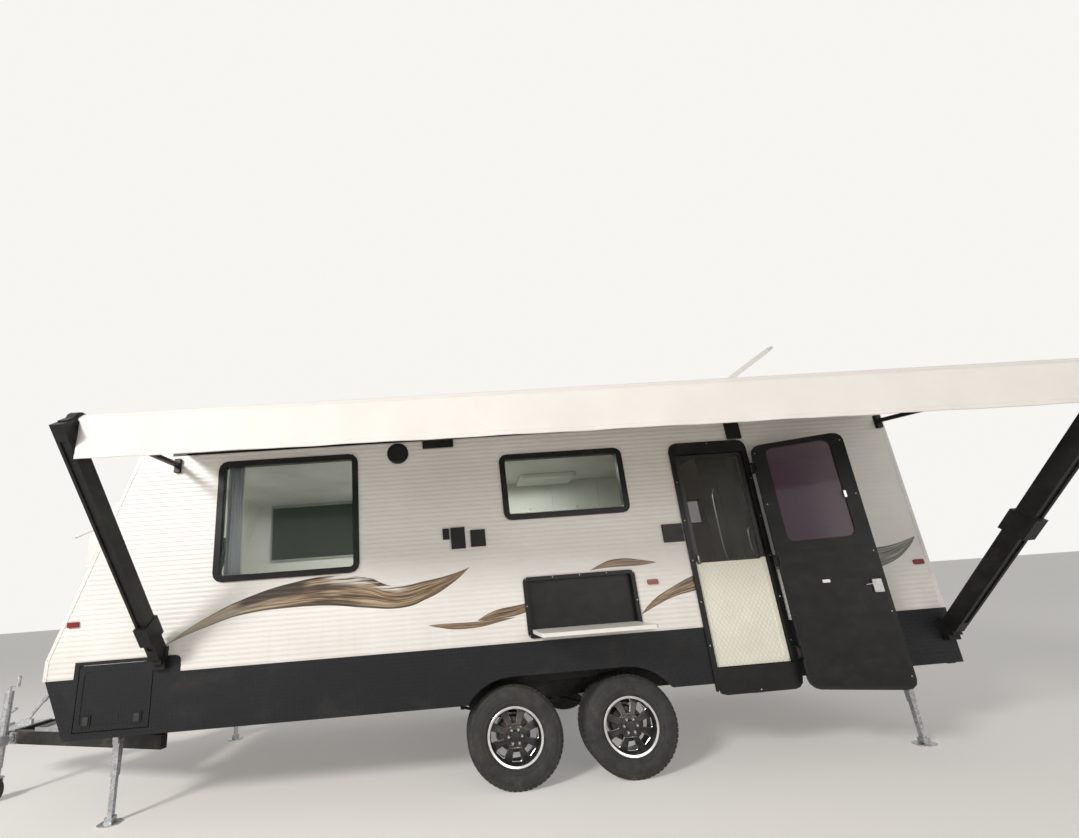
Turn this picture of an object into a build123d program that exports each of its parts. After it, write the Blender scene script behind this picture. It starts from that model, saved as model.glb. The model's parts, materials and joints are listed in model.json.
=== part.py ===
from build123d import *
import math
import os

# A tandem-axle travel caravan with ribbed cladding, parked on its jockey wheel and corner steadies.
# Millimetres. X runs rearwards from the tow ball, the entry door is on the -Y side, and Z is up.
# The origin is the centre of the tow ball in the coupling.
# "Along" is counted from the body's front corner and "height" from the ground.
# "Depth" is counted inwards from a side wall's outer face, so an outward distance is negative.

# Overall
BALL_HEIGHT = 450
DRAWBAR = 1450
BODY_LENGTH = 6656
BODY_WIDTH = 2340
WALL = 32
CLADDING_FOOT = 980
WALL_TOP = 2640
RAKE = 18.6
RAKE_FOOT = 1115
ROOF = 40
CROWN = 22
ROOF_LIP = 8
FLOOR_UNDER = 650
FLOOR = 40
MOULDING = 26
MOULDING_PROUD = 4
GAP = 0.3
RUNNING = 6.0
FLAT = 1.0
ROD_SIDES = 8
TUBE_SIDES = 12
ARCH_SIDES = 32
CORNER_STEPS = 3
SMALL_STEPS = 2
SMALL_CORNER = 20

# Chassis
RAIL_WIDTH = 50
RAIL_HEIGHT = 150
RAIL_TAIL_HEIGHT = 90
RAIL_TAPER = 1100
RAIL_OFFSET = 640
RAIL_START = 120
DRAWBAR_RAIL_HEIGHT = 100
DRAWBAR_HEAD = 35
DRAWBAR_HEAD_X = 100
DRAWBAR_MEET = 250
DRAWBAR_END = 650
CROSS_WIDTH = 40
CROSS_HEIGHT = 60
CROSS_SHEET = 5
END_CROSS = 80
NOSE_CROSS = 140
FRONT_CROSSES = (1000, 2000)
STEP_CROSS = 350
TAIL_CROSS = 656
FRONT_OUTRIGGERS = (1400, 2300)

# Coupling
COUPLING_BALL = 50
CUP_WALL = 14
CUP_LIP = 4
NECK = 250
COUPLING_PLATE = (110, 470, 10)
LEVER_RADIUS = 9
BRAKE_LEVER = (400, 560, 250)

# Gas bottles on the drawbar tray
TRAY_START = 720
TRAY_END = 100
TRAY_SHEET = 6
TRAY_LIP = 30
BOTTLE_X = 1040
BOTTLE_Y = 185
BOTTLE_RADIUS = 156
BOTTLE_SIDES = 16

# Wheels, axles and springs
TYRE_DIAMETER = 690
TYRE_WIDTH = 215
RIM_DIAMETER = 390
RIM_INSET = 22
BARREL = 13
WHEEL_SIDES = 24
HUB_SIDES = 12
SPOKES = 8
AXLE_CENTRE = 3700
AXLE_SPACING = 840
WHEEL_INSET = 42
HUB_RADIUS = 62
DRUM_RADIUS = 118
DRUM_BACK = 54
BACKPLATE = (128, 8)
STUB_RADIUS = 25
STUB_END = 30
AXLE_BEAM = 60
BEAM_END = 70
LEAVES = 4
LEAF_STEP = 92.5
LEAF_THICK = 10
LEAF_CAMBER = 62
SPRING_WIDTH = 60
HANGER = 24

# Skirt of checker plate below the cladding
SKIRT_FOOT = 590
SKIRT_PROUD = 6
SKIRT_NOSE = 20
ARCH_RADIUS = 410
NOSE_SETBACK = 190
WELL_TOP = 800
WELL_IN = 330
WELL_SHEET = 12

# Windows: along and height of the middle, width, height and corner radius of the frame's outside
WINDOW_BAR = 46
WINDOW_PROUD = 14
PANE_OUT = 8
INNER_CORNER = 8
PANE = 6
DOOR_SIDE_WINDOWS = ((1670, 2042, 1089, 938, 70), (3851, 2152, 1008, 538, 60))
OFF_SIDE_WINDOWS = ((1278, 2223, 1089, 554, 60), (4300, 1930, 1300, 620, 60))
BATHROOM_WINDOW = (556, 2180, 460, 380, 50)
# Front window and its stone guard: places counted up the rake from its foot, and out from it
FRONT_WINDOW_MARGIN = 840
FRONT_WINDOW_TALL = 440
FRONT_WINDOW_RISE = 930
FRONT_WINDOW_RADIUS = 60
GUARD_MARGIN = 40
GUARD_PROFILE = ((668, 20), (668, 42), (882, 116), (1180, 40), (1190, 20))
GUARD_SHELL = 6
GUARD_HINGE = (1206, 30)
GUARD_STAY = ((979, 100), (851, 228))

# Entry door: frame, leaf and screen door
DOOR_ALONG = 4750
DOOR_WIDTH = 653
DOOR_FOOT = 510
DOOR_TOP = 2422
DOOR_BAR = 40
DOOR_RADIUS = 72
DOOR_PROUD = 16
DOOR_SILL = 690
DOOR_HEAD = 2322
DOOR_OPEN = 155
LEAF = 26
LEAF_STANDOFF = 4
LEAF_FOOT = 514
LEAF_TOP = 2336
LEAF_RADIUS = 66
LEAF_EDGE = 28
PANE_ALONG = (4865, 5287)
PANE_HEIGHT = (1552, 2296)
PANE_RADIUS = 50
HINGE_INSET = 11
HINGE_PIN = 5
HINGE_BARREL = 9
KNUCKLES = (760, 1420, 2160)
KNUCKLE_HALF = 31
LATCH = (4836, 1194, 60, 96)
CATCH = (4866, 1859, 24, 60)
SCREEN_HINGE = (12, 8)
SCREEN_PIN = 4
SCREEN_SKIN = (4, 26)
SCREEN_STILE = 34
SCREEN_RAIL = 1448
SCREEN_MESH = 1

# Fold-down table: along and height of the middle, width and height of its frame
TABLE_FRAME = (3867, 1219.5, 862, 441)
TABLE_BAR = 30
TABLE_PROUD = 14
TABLE_RADIUS = 36
TABLE_BOARD = 26
TABLE_PIN = 4
FLAP_THICK = 26
FLAP_CORNER = 14

# Tunnel boot: the black plate round its door, and the door
BOOT_PLATE = (211, 939, 1090)
BOOT_CORNER = 40
BOOT_DOOR = (250, 752, 640, 1061)
BOOT_PIN_DEPTH = 2
BOOT_PIN_DROP = 8
BOOT_PIN = 3

# Roof hatch and antenna
HATCH_ALONG = 2900
HATCH_SIZE = 400
HATCH_FLANGE = 30
HATCH_LID = 24
ANTENNA_ALONG = 5058
ANTENNA_INBOARD = 200
ANTENNA_RISE = 72
ANTENNA_ANGLE = 32
ANTENNA_REACH = 1100
ANTENNA_MAST = 560
ANTENNA_HEAD = ((0, 60, 36), (90, 250, 44), (430, 250, 40), (540, 150, 24))

# Awning, rolled out about a metre: the door end's arm first, then the rear one
FRONT_ARM = 806
REAR_ARM = 56
ARM_FOOT_OUT = (46, 60)
ARM_FOOT_HEIGHT = (1100, 848)
ARM_WIDTH = 70
ARM_DEEP = 104
ARM_OUTSIDE = (103, 118)
ARM_LOCK = (0.13, 0.48)
ROLLER_OUT = (1000, 1300)
ROLLER_HEIGHT = (2470, 2325)
ROLLER_RADIUS = 46
ROLLER_CAP = 62
ROLLER_END = 27.5
CANOPY_INSET = 50
RAIL_LEVEL = 2600
VALANCE_DROP = 235
CLOTH = 5

# Steadies, jockey wheel, bumper and lamps
FRONT_STEADY = 420
REAR_STEADY = 275
STEADY_INSET = 216
STEADY_HINGE = 524
STEADY_PIN = 8
STEADY_FOOT = (70, 60, 8)
JOCKEY_X = 470
JOCKEY_Y = 298
JOCKEY_RADIUS = 80
JOCKEY_WIDTH = 60
JOCKEY_TUBE = 30
JOCKEY_TOP = 840
BUMPER_INSET = 110
BUMPER = 60
HOLE_SPACING = 900
HOLE_RADIUS = 6.5
PLATE = (372, 134, 2)
LAMP_FOOT = 716
LAMP_TALL = 248
LENS_INSET = 8
LENS_STEP = 80
LAMP_INSET = 65
# Side marker lamps (along, height) and their size; the last is counted from the rear
MARKERS = ((161, 1350), (4430, 1336))
REAR_MARKER = (96, 1331)
MARKER = (80, 38, 14)
# Fittings on the door side: along, height, width and height
FITTINGS = ((2864, 2548, 250, 60), (2882, 1811, 50, 85), (2973, 1774, 110, 165), (3127, 1763, 115, 130),
            (4658, 1693, 160, 142), (5330, 2502, 120, 140))
FITTING_PROUD = 16
SPEAKER = (2536, 2490, 85)

# Inside, as far as the windows and the door show it
LINING = 36
BED = (760, 2500, 420, 420)
MATTRESS = (755, 2520, 400, 160)
BENCH = (3240, 560, 880)
BENCH_TO_DOOR = 190
NEAR_LOCKER = (2300, 370, 140)
OFF_LOCKER = (1900, 370, 380)
BATHROOM_WALL = 77
BATHROOM_SHEET = 20
BATHROOM_DOOR = (310, 1850)
SEATS = ((3100, 3620), (4540, 5060))
SEAT = (1000, 430)
DINETTE_TOP = (3700, 4320, 900, 700, 30)
DINETTE_LEG = (3980, 4040, 700, 760)

GROUND = -BALL_HEIGHT
HALF = BODY_WIDTH / 2
NEAR, OFF = -1, 1
TAN_RAKE = math.tan(math.radians(RAKE))
COS_RAKE = math.cos(math.radians(RAKE))
SIN_RAKE = math.sin(math.radians(RAKE))
AXLES = (AXLE_CENTRE - AXLE_SPACING / 2, AXLE_CENTRE + AXLE_SPACING / 2)
WHEEL_HEIGHT = TYRE_DIAMETER / 2
WHEEL_MID = HALF - WHEEL_INSET - TYRE_WIDTH / 2
RAIL_UNDER = FLOOR_UNDER - RAIL_HEIGHT
DRAWBAR_MID = RAIL_UNDER - DRAWBAR_RAIL_HEIGHT / 2
DOOR_END = DOOR_ALONG + DOOR_WIDTH
OPENING = (DOOR_ALONG + DOOR_BAR, DOOR_END - DOOR_BAR)
LEAF_AXIS = (DOOR_END - HINGE_INSET, -DOOR_PROUD - RUNNING - LEAF - LEAF_STANDOFF)
SCREEN_AXIS = (OPENING[1] - SCREEN_HINGE[0], SCREEN_HINGE[1])
ARM_ALONG = (FRONT_ARM, BODY_LENGTH - REAR_ARM)
STEADY_ALONG = (FRONT_STEADY, BODY_LENGTH - REAR_STEADY)
STEADY_OUT = HALF - STEADY_INSET
INSIDE = HALF - WALL


def back(along):
    """X of a place counted from the body's front corner."""
    return DRAWBAR + along


def up(height):
    """Z of a height over the ground."""
    return GROUND + height


def depth(side, value):
    """Y of a place that lies this far inside the outer face of a side wall."""
    return side * (HALF - value)


def rake_at(height):
    """How far behind the front corner the front wall lies at a height."""
    return max(0, height - RAKE_FOOT) * TAN_RAKE


def drawbar_y(x):
    """Level distance of a drawbar rail's middle from the centre line."""
    slope = (RAIL_OFFSET - DRAWBAR_HEAD) / (back(DRAWBAR_MEET) - DRAWBAR_HEAD_X)
    return DRAWBAR_HEAD + (x - DRAWBAR_HEAD_X) * slope


DRAWBAR_TURN = math.degrees(math.atan2(RAIL_OFFSET - DRAWBAR_HEAD, back(DRAWBAR_MEET) - DRAWBAR_HEAD_X))
RAKE_PLANE = Plane(origin=(DRAWBAR, 0, up(RAKE_FOOT)), x_dir=(0, -1, 0), z_dir=(-COS_RAKE, 0, SIN_RAKE))


# Shapes that are used again and again
def box(x0, x1, y0, y1, z0, z1):
    """A box from its six faces."""
    xs, ys, zs = sorted((x0, x1)), sorted((y0, y1)), sorted((z0, z1))
    size = Box(xs[1] - xs[0], ys[1] - ys[0], zs[1] - zs[0])
    return Pos(sum(xs) / 2, sum(ys) / 2, sum(zs) / 2) * size


def body_box(side, a0, a1, d0, d1, h0, h1):
    """A box on a side of the body: along, depth inside the wall's outer face, height."""
    return box(back(a0), back(a1), depth(side, d0), depth(side, d1), up(h0), up(h1))


def panel(side, along, height, width, tall, d0, d1):
    """A square-cornered plate on a side wall, from its middle and its size."""
    return body_box(side, along - width / 2, along + width / 2, d0, d1, height - tall / 2, height + tall / 2)


def outline(points, y0, y1):
    """A closed side-view outline of (along, height) corners, solid from y0 to y1."""
    low = min(y0, y1)
    line = Polyline(*[(back(a), low, up(h)) for a, h in points], close=True)
    return extrude(make_face(line), amount=abs(y1 - y0), dir=(0, 1, 0))


def plan(points, z0, z1):
    """A closed outline seen from above, solid from z0 to z1."""
    return extrude(Pos(0, 0, z0) * make_face(Polyline(*points, close=True)), amount=z1 - z0)


def soft_rectangle(width, tall, radius):
    """A rectangle whose corners are turned in short straight steps."""
    steps = CORNER_STEPS if radius > SMALL_CORNER else SMALL_STEPS
    points = []
    for turn, (a, b) in enumerate(((1, 1), (-1, 1), (-1, -1), (1, -1))):
        x, y = a * (width / 2 - radius), b * (tall / 2 - radius)
        for k in range(steps + 1):
            angle = math.radians(90 * (turn + k / steps))
            points.append((x + radius * math.cos(angle), y + radius * math.sin(angle)))
    return make_face(Polyline(*points, close=True))


def rounded(side, along, height, width, tall, radius, d0, d1):
    """A rounded rectangle seen on a side wall, solid between two depths."""
    y_in = max(depth(side, d0), depth(side, d1))
    plane = Plane(origin=(back(along), y_in, up(height)), x_dir=(1, 0, 0), z_dir=(0, -1, 0))
    return extrude(plane * soft_rectangle(width, tall, radius), amount=abs(d1 - d0))


def rod(start, end, radius, sides=ROD_SIDES):
    """A many-sided bar between two points, its corners on the radius."""
    way = Vector(*end) - Vector(*start)
    return extrude(Plane(origin=start, z_dir=way) * RegularPolygon(radius, sides), amount=way.length)


def bore(start, end, radius, sides=ROD_SIDES):
    """The hole for a rod: its flats lie on the radius, across from the rod's corners."""
    way = Vector(*end) - Vector(*start)
    outline_face = RegularPolygon(radius, sides, major_radius=False, rotation=180 / sides)
    return extrude(Plane(origin=start, z_dir=way) * outline_face, amount=way.length)


def square_bar(start, end, width, tall):
    """A rectangular bar between two points; its width is measured level."""
    way = Vector(*end) - Vector(*start)
    level = Vector(-way.Y, way.X, 0)
    if level.length < 1e-6:
        level = Vector(1, 0, 0)
    plane = Plane(origin=start, x_dir=level, z_dir=way)
    return extrude(plane * Rectangle(width, tall), amount=way.length)


def flat_face(points):
    """A face from its corners."""
    return Face(Wire.make_polygon(points, close=True))


def skin(rings):
    """A flat-faced solid through rings of matching corners; a twisted side is two triangles."""
    rings = [[Vector(*point) for point in ring] for ring in rings]
    faces = [flat_face(rings[0]), flat_face(rings[-1])]
    for low, high in zip(rings, rings[1:]):
        for k in range(len(low)):
            j = (k + 1) % len(low)
            corners = (low[k], low[j], high[j], high[k])
            twist = (corners[1] - corners[0]).cross(corners[2] - corners[0]).dot(corners[3] - corners[0])
            if abs(twist) < FLAT:
                faces.append(flat_face(corners))
            else:
                faces.append(flat_face(corners[:3]))
                faces.append(flat_face((corners[0], corners[2], corners[3])))
    return Solid(Shell(faces))


def four(middle, wide_way, tall_way, wide, tall):
    """Corners of a rectangle round a point in space."""
    across, rise = Vector(*wide_way) * (wide / 2), Vector(*tall_way) * (tall / 2)
    middle = Vector(*middle)
    return [tuple(middle + across * a + rise * b) for a, b in ((-1, -1), (1, -1), (1, 1), (-1, 1))]


def stack(sections, sides):
    """A many-sided turned piece standing on Z; each section is (height, radius to the flats)."""
    turn = math.pi / sides
    rings = []
    for z, radius in sections:
        corner = radius / math.cos(turn)
        spots = [turn * (2 * k + 1) for k in range(sides)]
        rings.append([(corner * math.cos(spot), corner * math.sin(spot), z) for spot in spots])
    return skin(rings)


def channel(x0, x1, y0, y1):
    """A folded cross member under the floor, open to the rear."""
    low, high = up(FLOOR_UNDER - CROSS_HEIGHT), up(FLOOR_UNDER)
    ends = (min(y0, y1) - 1, max(y0, y1) + 1)
    inner = box(x0 + CROSS_SHEET, x1 + 1, *ends, low + CROSS_SHEET, high - CROSS_SHEET)
    return box(x0, x1, y0, y1, low, high) - inner


def join(parts):
    """One solid from touching parts."""
    whole = parts[0]
    for part in parts[1:]:
        whole = whole + part
    return whole


def cut(whole, tools):
    """The whole less every tool."""
    for tool in tools:
        whole = whole - tool
    return whole


NODES = {}


def keep(name, *parts):
    """File one node; parts that don't touch stay separate solids."""
    solids = [solid for part in parts for solid in part.solids()]
    NODES[name] = Compound(solids) if len(solids) > 1 else solids[0]


# Chassis
def make_chassis():
    tail = BODY_LENGTH - BUMPER
    side_view = [(RAIL_START, RAIL_UNDER), (RAIL_START, FLOOR_UNDER), (tail, FLOOR_UNDER),
                 (tail, FLOOR_UNDER - RAIL_TAIL_HEIGHT), (tail - RAIL_TAPER, RAIL_UNDER)]
    half = RAIL_WIDTH / 2
    rails = [outline(side_view, side * RAIL_OFFSET - half, side * RAIL_OFFSET + half) for side in (NEAR, OFF)]
    inner = RAIL_OFFSET - half - GAP
    outer = RAIL_OFFSET + half + GAP
    step = DOOR_ALONG + STEP_CROSS
    places = (NOSE_CROSS, *FRONT_CROSSES, *AXLES, step, BODY_LENGTH - TAIL_CROSS, BODY_LENGTH - END_CROSS)
    beams = []
    for along in places:
        beams.append(channel(back(along - CROSS_WIDTH / 2), back(along + CROSS_WIDTH / 2), -inner, inner))
    for along in (STEADY_ALONG[0], *FRONT_OUTRIGGERS, step, STEADY_ALONG[1]):
        for side in (NEAR, OFF):
            beams.append(channel(back(along - CROSS_WIDTH / 2), back(along + CROSS_WIDTH / 2), side * outer,
                                 depth(side, WALL + 4)))
    keep("chassis_frame", *rails, *beams)
    z = up(DRAWBAR_MID)
    end = back(DRAWBAR_END)
    arms = []
    for side in (NEAR, OFF):
        head = (DRAWBAR_HEAD_X, side * drawbar_y(DRAWBAR_HEAD_X), z)
        arms.append(square_bar(head, (end, side * drawbar_y(end), z), RAIL_WIDTH, DRAWBAR_RAIL_HEIGHT))
    keep("drawbar_rails", *arms)


def make_coupling():
    """The ball cup, its neck, the plate on the drawbar, the latch lever and the handbrake lever."""
    ball = COUPLING_BALL / 2
    cup = ball + CUP_WALL
    top = up(DRAWBAR_MID + DRAWBAR_RAIL_HEIGHT / 2)
    whole = Pos(0, 0, -CUP_LIP) * Cylinder(cup, top + 34, align=(Align.CENTER, Align.CENTER, Align.MIN))
    neck = plan([(0, -cup), (NECK, -cup - 16), (NECK, cup + 16), (0, cup)], top, top + 30)
    whole = whole + neck
    whole = whole - Sphere(ball + GAP) - Pos(0, 0, -ball) * Cylinder(ball + GAP, 2 * ball)
    x0, x1, sheet = COUPLING_PLATE
    wide0, wide1 = drawbar_y(x0) + 40, drawbar_y(x1) + 20
    plate = plan([(x0, -wide0), (x1, -wide1), (x1, wide1), (x0, wide0)], top, top + sheet)
    eyes = []
    for side in (NEAR, OFF):
        y = side * (drawbar_y(x0) + 30)
        eye = box(x0 + 10, x0 + 60, y - 4, y + 4, top + sheet, top + 44)
        eyes.append(eye - bore((x0 + 35, y - 9, top + 27), (x0 + 35, y + 9, top + 27), 9))
    lever = rod((70, 0, top + 25), (235, 0, top + 120), LEVER_RADIUS)
    grip = square_bar((225, 0, top + 114), (290, 0, top + 150), 34, 22)
    foot, tip, rise = BRAKE_LEVER
    bracket = box(foot - 60, foot + 50, -14, 14, top + sheet, top + 52)
    brake = square_bar((foot, 0, top + 40), (tip, 0, top + rise), 16, 24)
    handle = square_bar((tip - 42, 0, top + rise - 56), (tip + 20, 0, top + rise + 26), 28, 34)
    keep("tow_coupling", join([whole, plate, *eyes, lever, grip, bracket, brake, handle]))


def bottle():
    """A steel gas bottle with its foot ring, shoulder, collar and valve."""
    r, n = BOTTLE_RADIUS, BOTTLE_SIDES
    foot = stack(((0, r - 26), (34, r - 26)), n) - stack(((-1, r - 31), (20, r - 31)), n)
    body = stack(((24, r - 34), (52, r), (330, r), (368, r - 24), (398, r - 62), (408, r - 110)), n)
    collar = stack(((392, r - 62), (470, r - 58)), n) - stack(((391, r - 67), (471, r - 63)), n)
    collar = collar - box(-40, 40, -r, 0, 425, 480)
    valve = stack(((400, 18), (444, 18)), ROD_SIDES)
    return join([foot, body, collar, valve])


def make_tray_and_bottles():
    top = up(DRAWBAR_MID + DRAWBAR_RAIL_HEIGHT / 2)
    x0, x1 = TRAY_START, back(TRAY_END)
    edge = 20
    sheet = 4
    outer = [(x0, -drawbar_y(x0) - edge), (x1, -drawbar_y(x1) - edge), (x1, drawbar_y(x1) + edge),
             (x0, drawbar_y(x0) + edge)]
    wide0, wide1 = drawbar_y(x0) + edge - sheet, drawbar_y(x1) + edge - sheet
    inner = [(x0 + sheet, -wide0), (x1 + 1, -wide1), (x1 + 1, wide1), (x0 + sheet, wide0)]
    tray = plan(outer, top, top + TRAY_LIP) - plan(inner, top + TRAY_SHEET, top + TRAY_LIP + 1)
    keep("drawbar_tray", tray)
    one = bottle()
    keep("gas_bottles", *[Pos(BOTTLE_X, side * BOTTLE_Y, top + TRAY_SHEET) * one for side in (NEAR, OFF)])


# Wheels, axles and springs
def spring_pack(along, y):
    """Four leaves on an axle, each one step shorter than the one above it."""
    seat = WHEEL_HEIGHT + AXLE_BEAM / 2
    steps = [(0, 0)]
    for k in range(LEAVES):
        steps += [(k + 1, k), (k + 1, k + 1)]
    over = [(k, LEAVES) for k in range(LEAVES - 1, 0, -1)]
    right = []
    for i, k in steps + over:
        right.append((i * LEAF_STEP, seat + k * LEAF_THICK + LEAF_CAMBER * (i / LEAVES) ** 2))
    middle = (0, seat + LEAVES * LEAF_THICK)
    left = [(-a, h) for a, h in reversed(right[1:])]
    profile = [(along + a, h) for a, h in right + [middle] + left]
    leaves = [outline(profile, y - SPRING_WIDTH / 2, y + SPRING_WIDTH / 2)]
    top = seat + LEAVES * LEAF_THICK
    half, wide = 46, SPRING_WIDTH / 2 + 14
    clamps = [box(back(along) - half, back(along) + half, y - wide, y + wide, up(top - 1), up(top + 8))]
    low = WHEEL_HEIGHT - AXLE_BEAM / 2
    clamps.append(box(back(along) - half, back(along) + half, y - wide, y + wide, up(low - 10), up(low)))
    for s in (-1, 1):
        for t in (-1, 1):
            x, z0, z1 = back(along) + s * 38, up(low - 5), up(top + 4)
            clamps.append(box(x - 6, x + 6, y + t * 32, y + t * 43, z0, z1))
    return leaves + clamps


def make_running_gear():
    z = up(WHEEL_HEIGHT)
    half = AXLE_BEAM / 2
    beams = []
    plate_radius, plate = BACKPLATE
    disc = Rot(-90, 0, 0) * stack(((0, plate_radius), (plate, plate_radius)), HUB_SIDES)
    for along in AXLES:
        x = back(along)
        beam = box(x - half, x + half, BEAM_END - WHEEL_MID, WHEEL_MID - BEAM_END, z - half, z + half)
        stubs = rod((x, -WHEEL_MID - STUB_END, z), (x, WHEEL_MID + STUB_END, z), STUB_RADIUS, TUBE_SIDES)
        off_plate = Pos(x, WHEEL_MID - BEAM_END, z) * disc
        near_plate = Pos(x, BEAM_END - WHEEL_MID, z) * Rot(0, 0, 180) * disc
        beams.append(join([beam, stubs, off_plate, near_plate]))
    keep("axles", *beams)
    reach = LEAVES * LEAF_STEP
    end_height = WHEEL_HEIGHT + half + (LEAVES - 1) * LEAF_THICK + LEAF_CAMBER
    springs = []
    for side in (NEAR, OFF):
        y = side * RAIL_OFFSET
        gear = [part for along in AXLES for part in spring_pack(along, y)]
        for along in (AXLES[0] - reach, AXLES[1] + reach - HANGER):
            low = end_height - 14
            shape = [(-10, RAIL_UNDER), (HANGER + 10, RAIL_UNDER), (HANGER, low), (0, low)]
            gear.append(outline([(along + a, h) for a, h in shape], y - 20, y + 20))
        rocker = AXLE_SPACING / 2 - reach + 16
        low = end_height - 26
        shape = [(-rocker, low + 32), (-rocker, low + 16), (-14, low), (14, low), (rocker, low + 16),
                 (rocker, low + 32)]
        gear.append(outline([(AXLE_CENTRE + a, h) for a, h in shape], y - 14, y + 14))
        shape = [(-30, RAIL_UNDER), (30, RAIL_UNDER), (12, low + 8), (-12, low + 8)]
        gear.append(outline([(AXLE_CENTRE + a, h) for a, h in shape], y - 24, y + 24))
        springs.append(join(gear))
    keep("leaf_springs", *springs)


def tyre():
    """A tyre standing on Z, its face up and dished round the rim."""
    half = TYRE_WIDTH / 2
    radius = TYRE_DIAMETER / 2
    bead = RIM_DIAMETER / 2
    shoulder, side_in, wall_top = 26, 4, 34
    right = [(half - shoulder, radius), (half - side_in, radius - wall_top), (half, bead + 54)]
    left = [(-z, r) for z, r in reversed(right)]
    solid = stack(left + right, WHEEL_SIDES)
    dish = stack(((half - 26, bead + 10), (half + 1, bead + 48)), WHEEL_SIDES)
    middle = stack(((-half - 1, bead + GAP), (half + 1, bead + GAP)), WHEEL_SIDES)
    return solid - dish - middle


def rim():
    """A wheel standing on Z, its face up: barrel, dished face with eight windows, brake drum and hub."""
    half = TYRE_WIDTH / 2 - RIM_INSET
    radius = RIM_DIAMETER / 2
    inner = radius - BARREL
    barrel = stack(((-half, radius), (half, radius)), WHEEL_SIDES)
    barrel = barrel - stack(((-half - 1, inner), (half + 1, inner)), WHEEL_SIDES)
    low, mid, high = 14, 30, 52
    face = stack(((low, inner), (mid, inner), (high, HUB_RADIUS + 12)), WHEEL_SIDES)
    near, far = HUB_RADIUS + 22, inner - 14
    window = plan([(near, -17), (far, -40), (far, 40), (near, 17)], low - 2, high + 4)
    face = cut(face, [Rot(0, 0, k * 360 / SPOKES) * window for k in range(SPOKES)])
    drum = stack(((-DRUM_BACK, DRUM_RADIUS), (12, DRUM_RADIUS)), HUB_SIDES)
    hub = stack(((6, HUB_RADIUS), (high + 6, HUB_RADIUS), (high + 10, HUB_RADIUS - 6)), HUB_SIDES)
    cap = stack(((high + 8, 34), (high + 20, 34), (high + 26, 26)), HUB_SIDES)
    seat = bore((0, 0, -DRUM_BACK - 1), (0, 0, STUB_END + GAP), STUB_RADIUS + GAP, TUBE_SIDES)
    return join([barrel, face, drum, hub, cap]) - seat


def make_wheels():
    tyre_shape, rim_shape = tyre(), rim()
    for along, place in zip(AXLES, ("front", "rear")):
        for side, hand in ((NEAR, "door"), (OFF, "off")):
            turn = Rot(0, 0, 0 if side == OFF else 180) * Rot(-90, 0, 0)
            spot = Pos(back(along), side * WHEEL_MID, up(WHEEL_HEIGHT)) * turn
            keep("tyre_%s_%s" % (place, hand), spot * tyre_shape)
            keep("rim_%s_%s" % (place, hand), spot * rim_shape)


# Floor, wheel wells and walls
def well_box(side, grow, deep, low, high):
    """The block over both wheels of one side, grown by a margin."""
    reach = ARCH_RADIUS + grow
    return body_box(side, AXLES[0] - reach, AXLES[1] + reach, deep, WELL_IN + grow, low, high + grow)


def make_floor_and_wells():
    ends = (back(NOSE_SETBACK + WALL + 20), back(BODY_LENGTH - WALL))
    floor = box(*ends, -INSIDE, INSIDE, up(FLOOR_UNDER), up(FLOOR_UNDER + FLOOR))
    wells = []
    for side in (NEAR, OFF):
        room = well_box(side, 0, WALL, FLOOR_UNDER, WELL_TOP)
        floor = floor - room
        wells.append(room - well_box(side, -WELL_SHEET, WALL - 5, FLOOR_UNDER - 5, WELL_TOP))
    sill = body_box(NEAR, DOOR_ALONG, DOOR_END, WALL - 1, WALL + 4, FLOOR_UNDER - 1, FLOOR_UNDER + FLOOR + 1)
    keep("floor_panel", floor - sill)
    keep("wheel_wells", *wells)


def side_view(inset):
    """The cladding's side view, pulled in by an inset at the front, the top and the rear."""
    front = [(rake_at(h) + inset, h) for h in (CLADDING_FOOT, RAKE_FOOT, WALL_TOP - inset)]
    return front + [(BODY_LENGTH - inset, WALL_TOP - inset), (BODY_LENGTH - inset, CLADDING_FOOT)]


def boot_outline(reach):
    """The black plate round the boot door, its rear top corner rounded, running down by a reach."""
    start, end, top = BOOT_PLATE
    turns = [math.radians(t) for t in (90, 60, 30, 0)]
    middle = (end - BOOT_CORNER, top - BOOT_CORNER)
    corner = [(middle[0] + BOOT_CORNER * math.cos(t), middle[1] + BOOT_CORNER * math.sin(t)) for t in turns]
    return [(start, CLADDING_FOOT - reach), (start, top)] + corner + [(end, CLADDING_FOOT - reach)]


def frame_cut(along, height, width, tall, bar):
    """Middle and size of the square hole that a frame's flange covers."""
    return along, height, width - bar, tall - bar


def door_cut():
    middle = ((DOOR_ALONG + DOOR_END) / 2, (DOOR_FOOT + DOOR_TOP) / 2)
    size = frame_cut(*middle, DOOR_WIDTH, DOOR_TOP - DOOR_FOOT, DOOR_BAR)
    return panel(NEAR, *size, -20, WALL + 20)


def side_wall(side, windows):
    """A side wall with its corner mouldings, its windows' holes and the notch for the boot plate."""
    wall = outline(side_view(0), depth(side, 0), depth(side, WALL))
    rim_band = outline(side_view(0), depth(side, -MOULDING_PROUD), depth(side, 0))
    rim_band = rim_band - outline(side_view(MOULDING), depth(side, -MOULDING_PROUD - 1), depth(side, 1))
    ends = (MOULDING, BODY_LENGTH - MOULDING)
    foot = body_box(side, *ends, -MOULDING_PROUD - 1, 0, CLADDING_FOOT - 1, CLADDING_FOOT)
    holes = [panel(side, *frame_cut(*w[:4], WINDOW_BAR), -20, WALL + 20) for w in windows]
    notch = outline(boot_outline(5), depth(side, -10), depth(side, WALL + 5))
    return cut(wall + (rim_band - foot), holes + [notch])


def off_windows():
    behind, *rest = BATHROOM_WINDOW
    return (*OFF_SIDE_WINDOWS, (BODY_LENGTH - behind, *rest))


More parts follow.
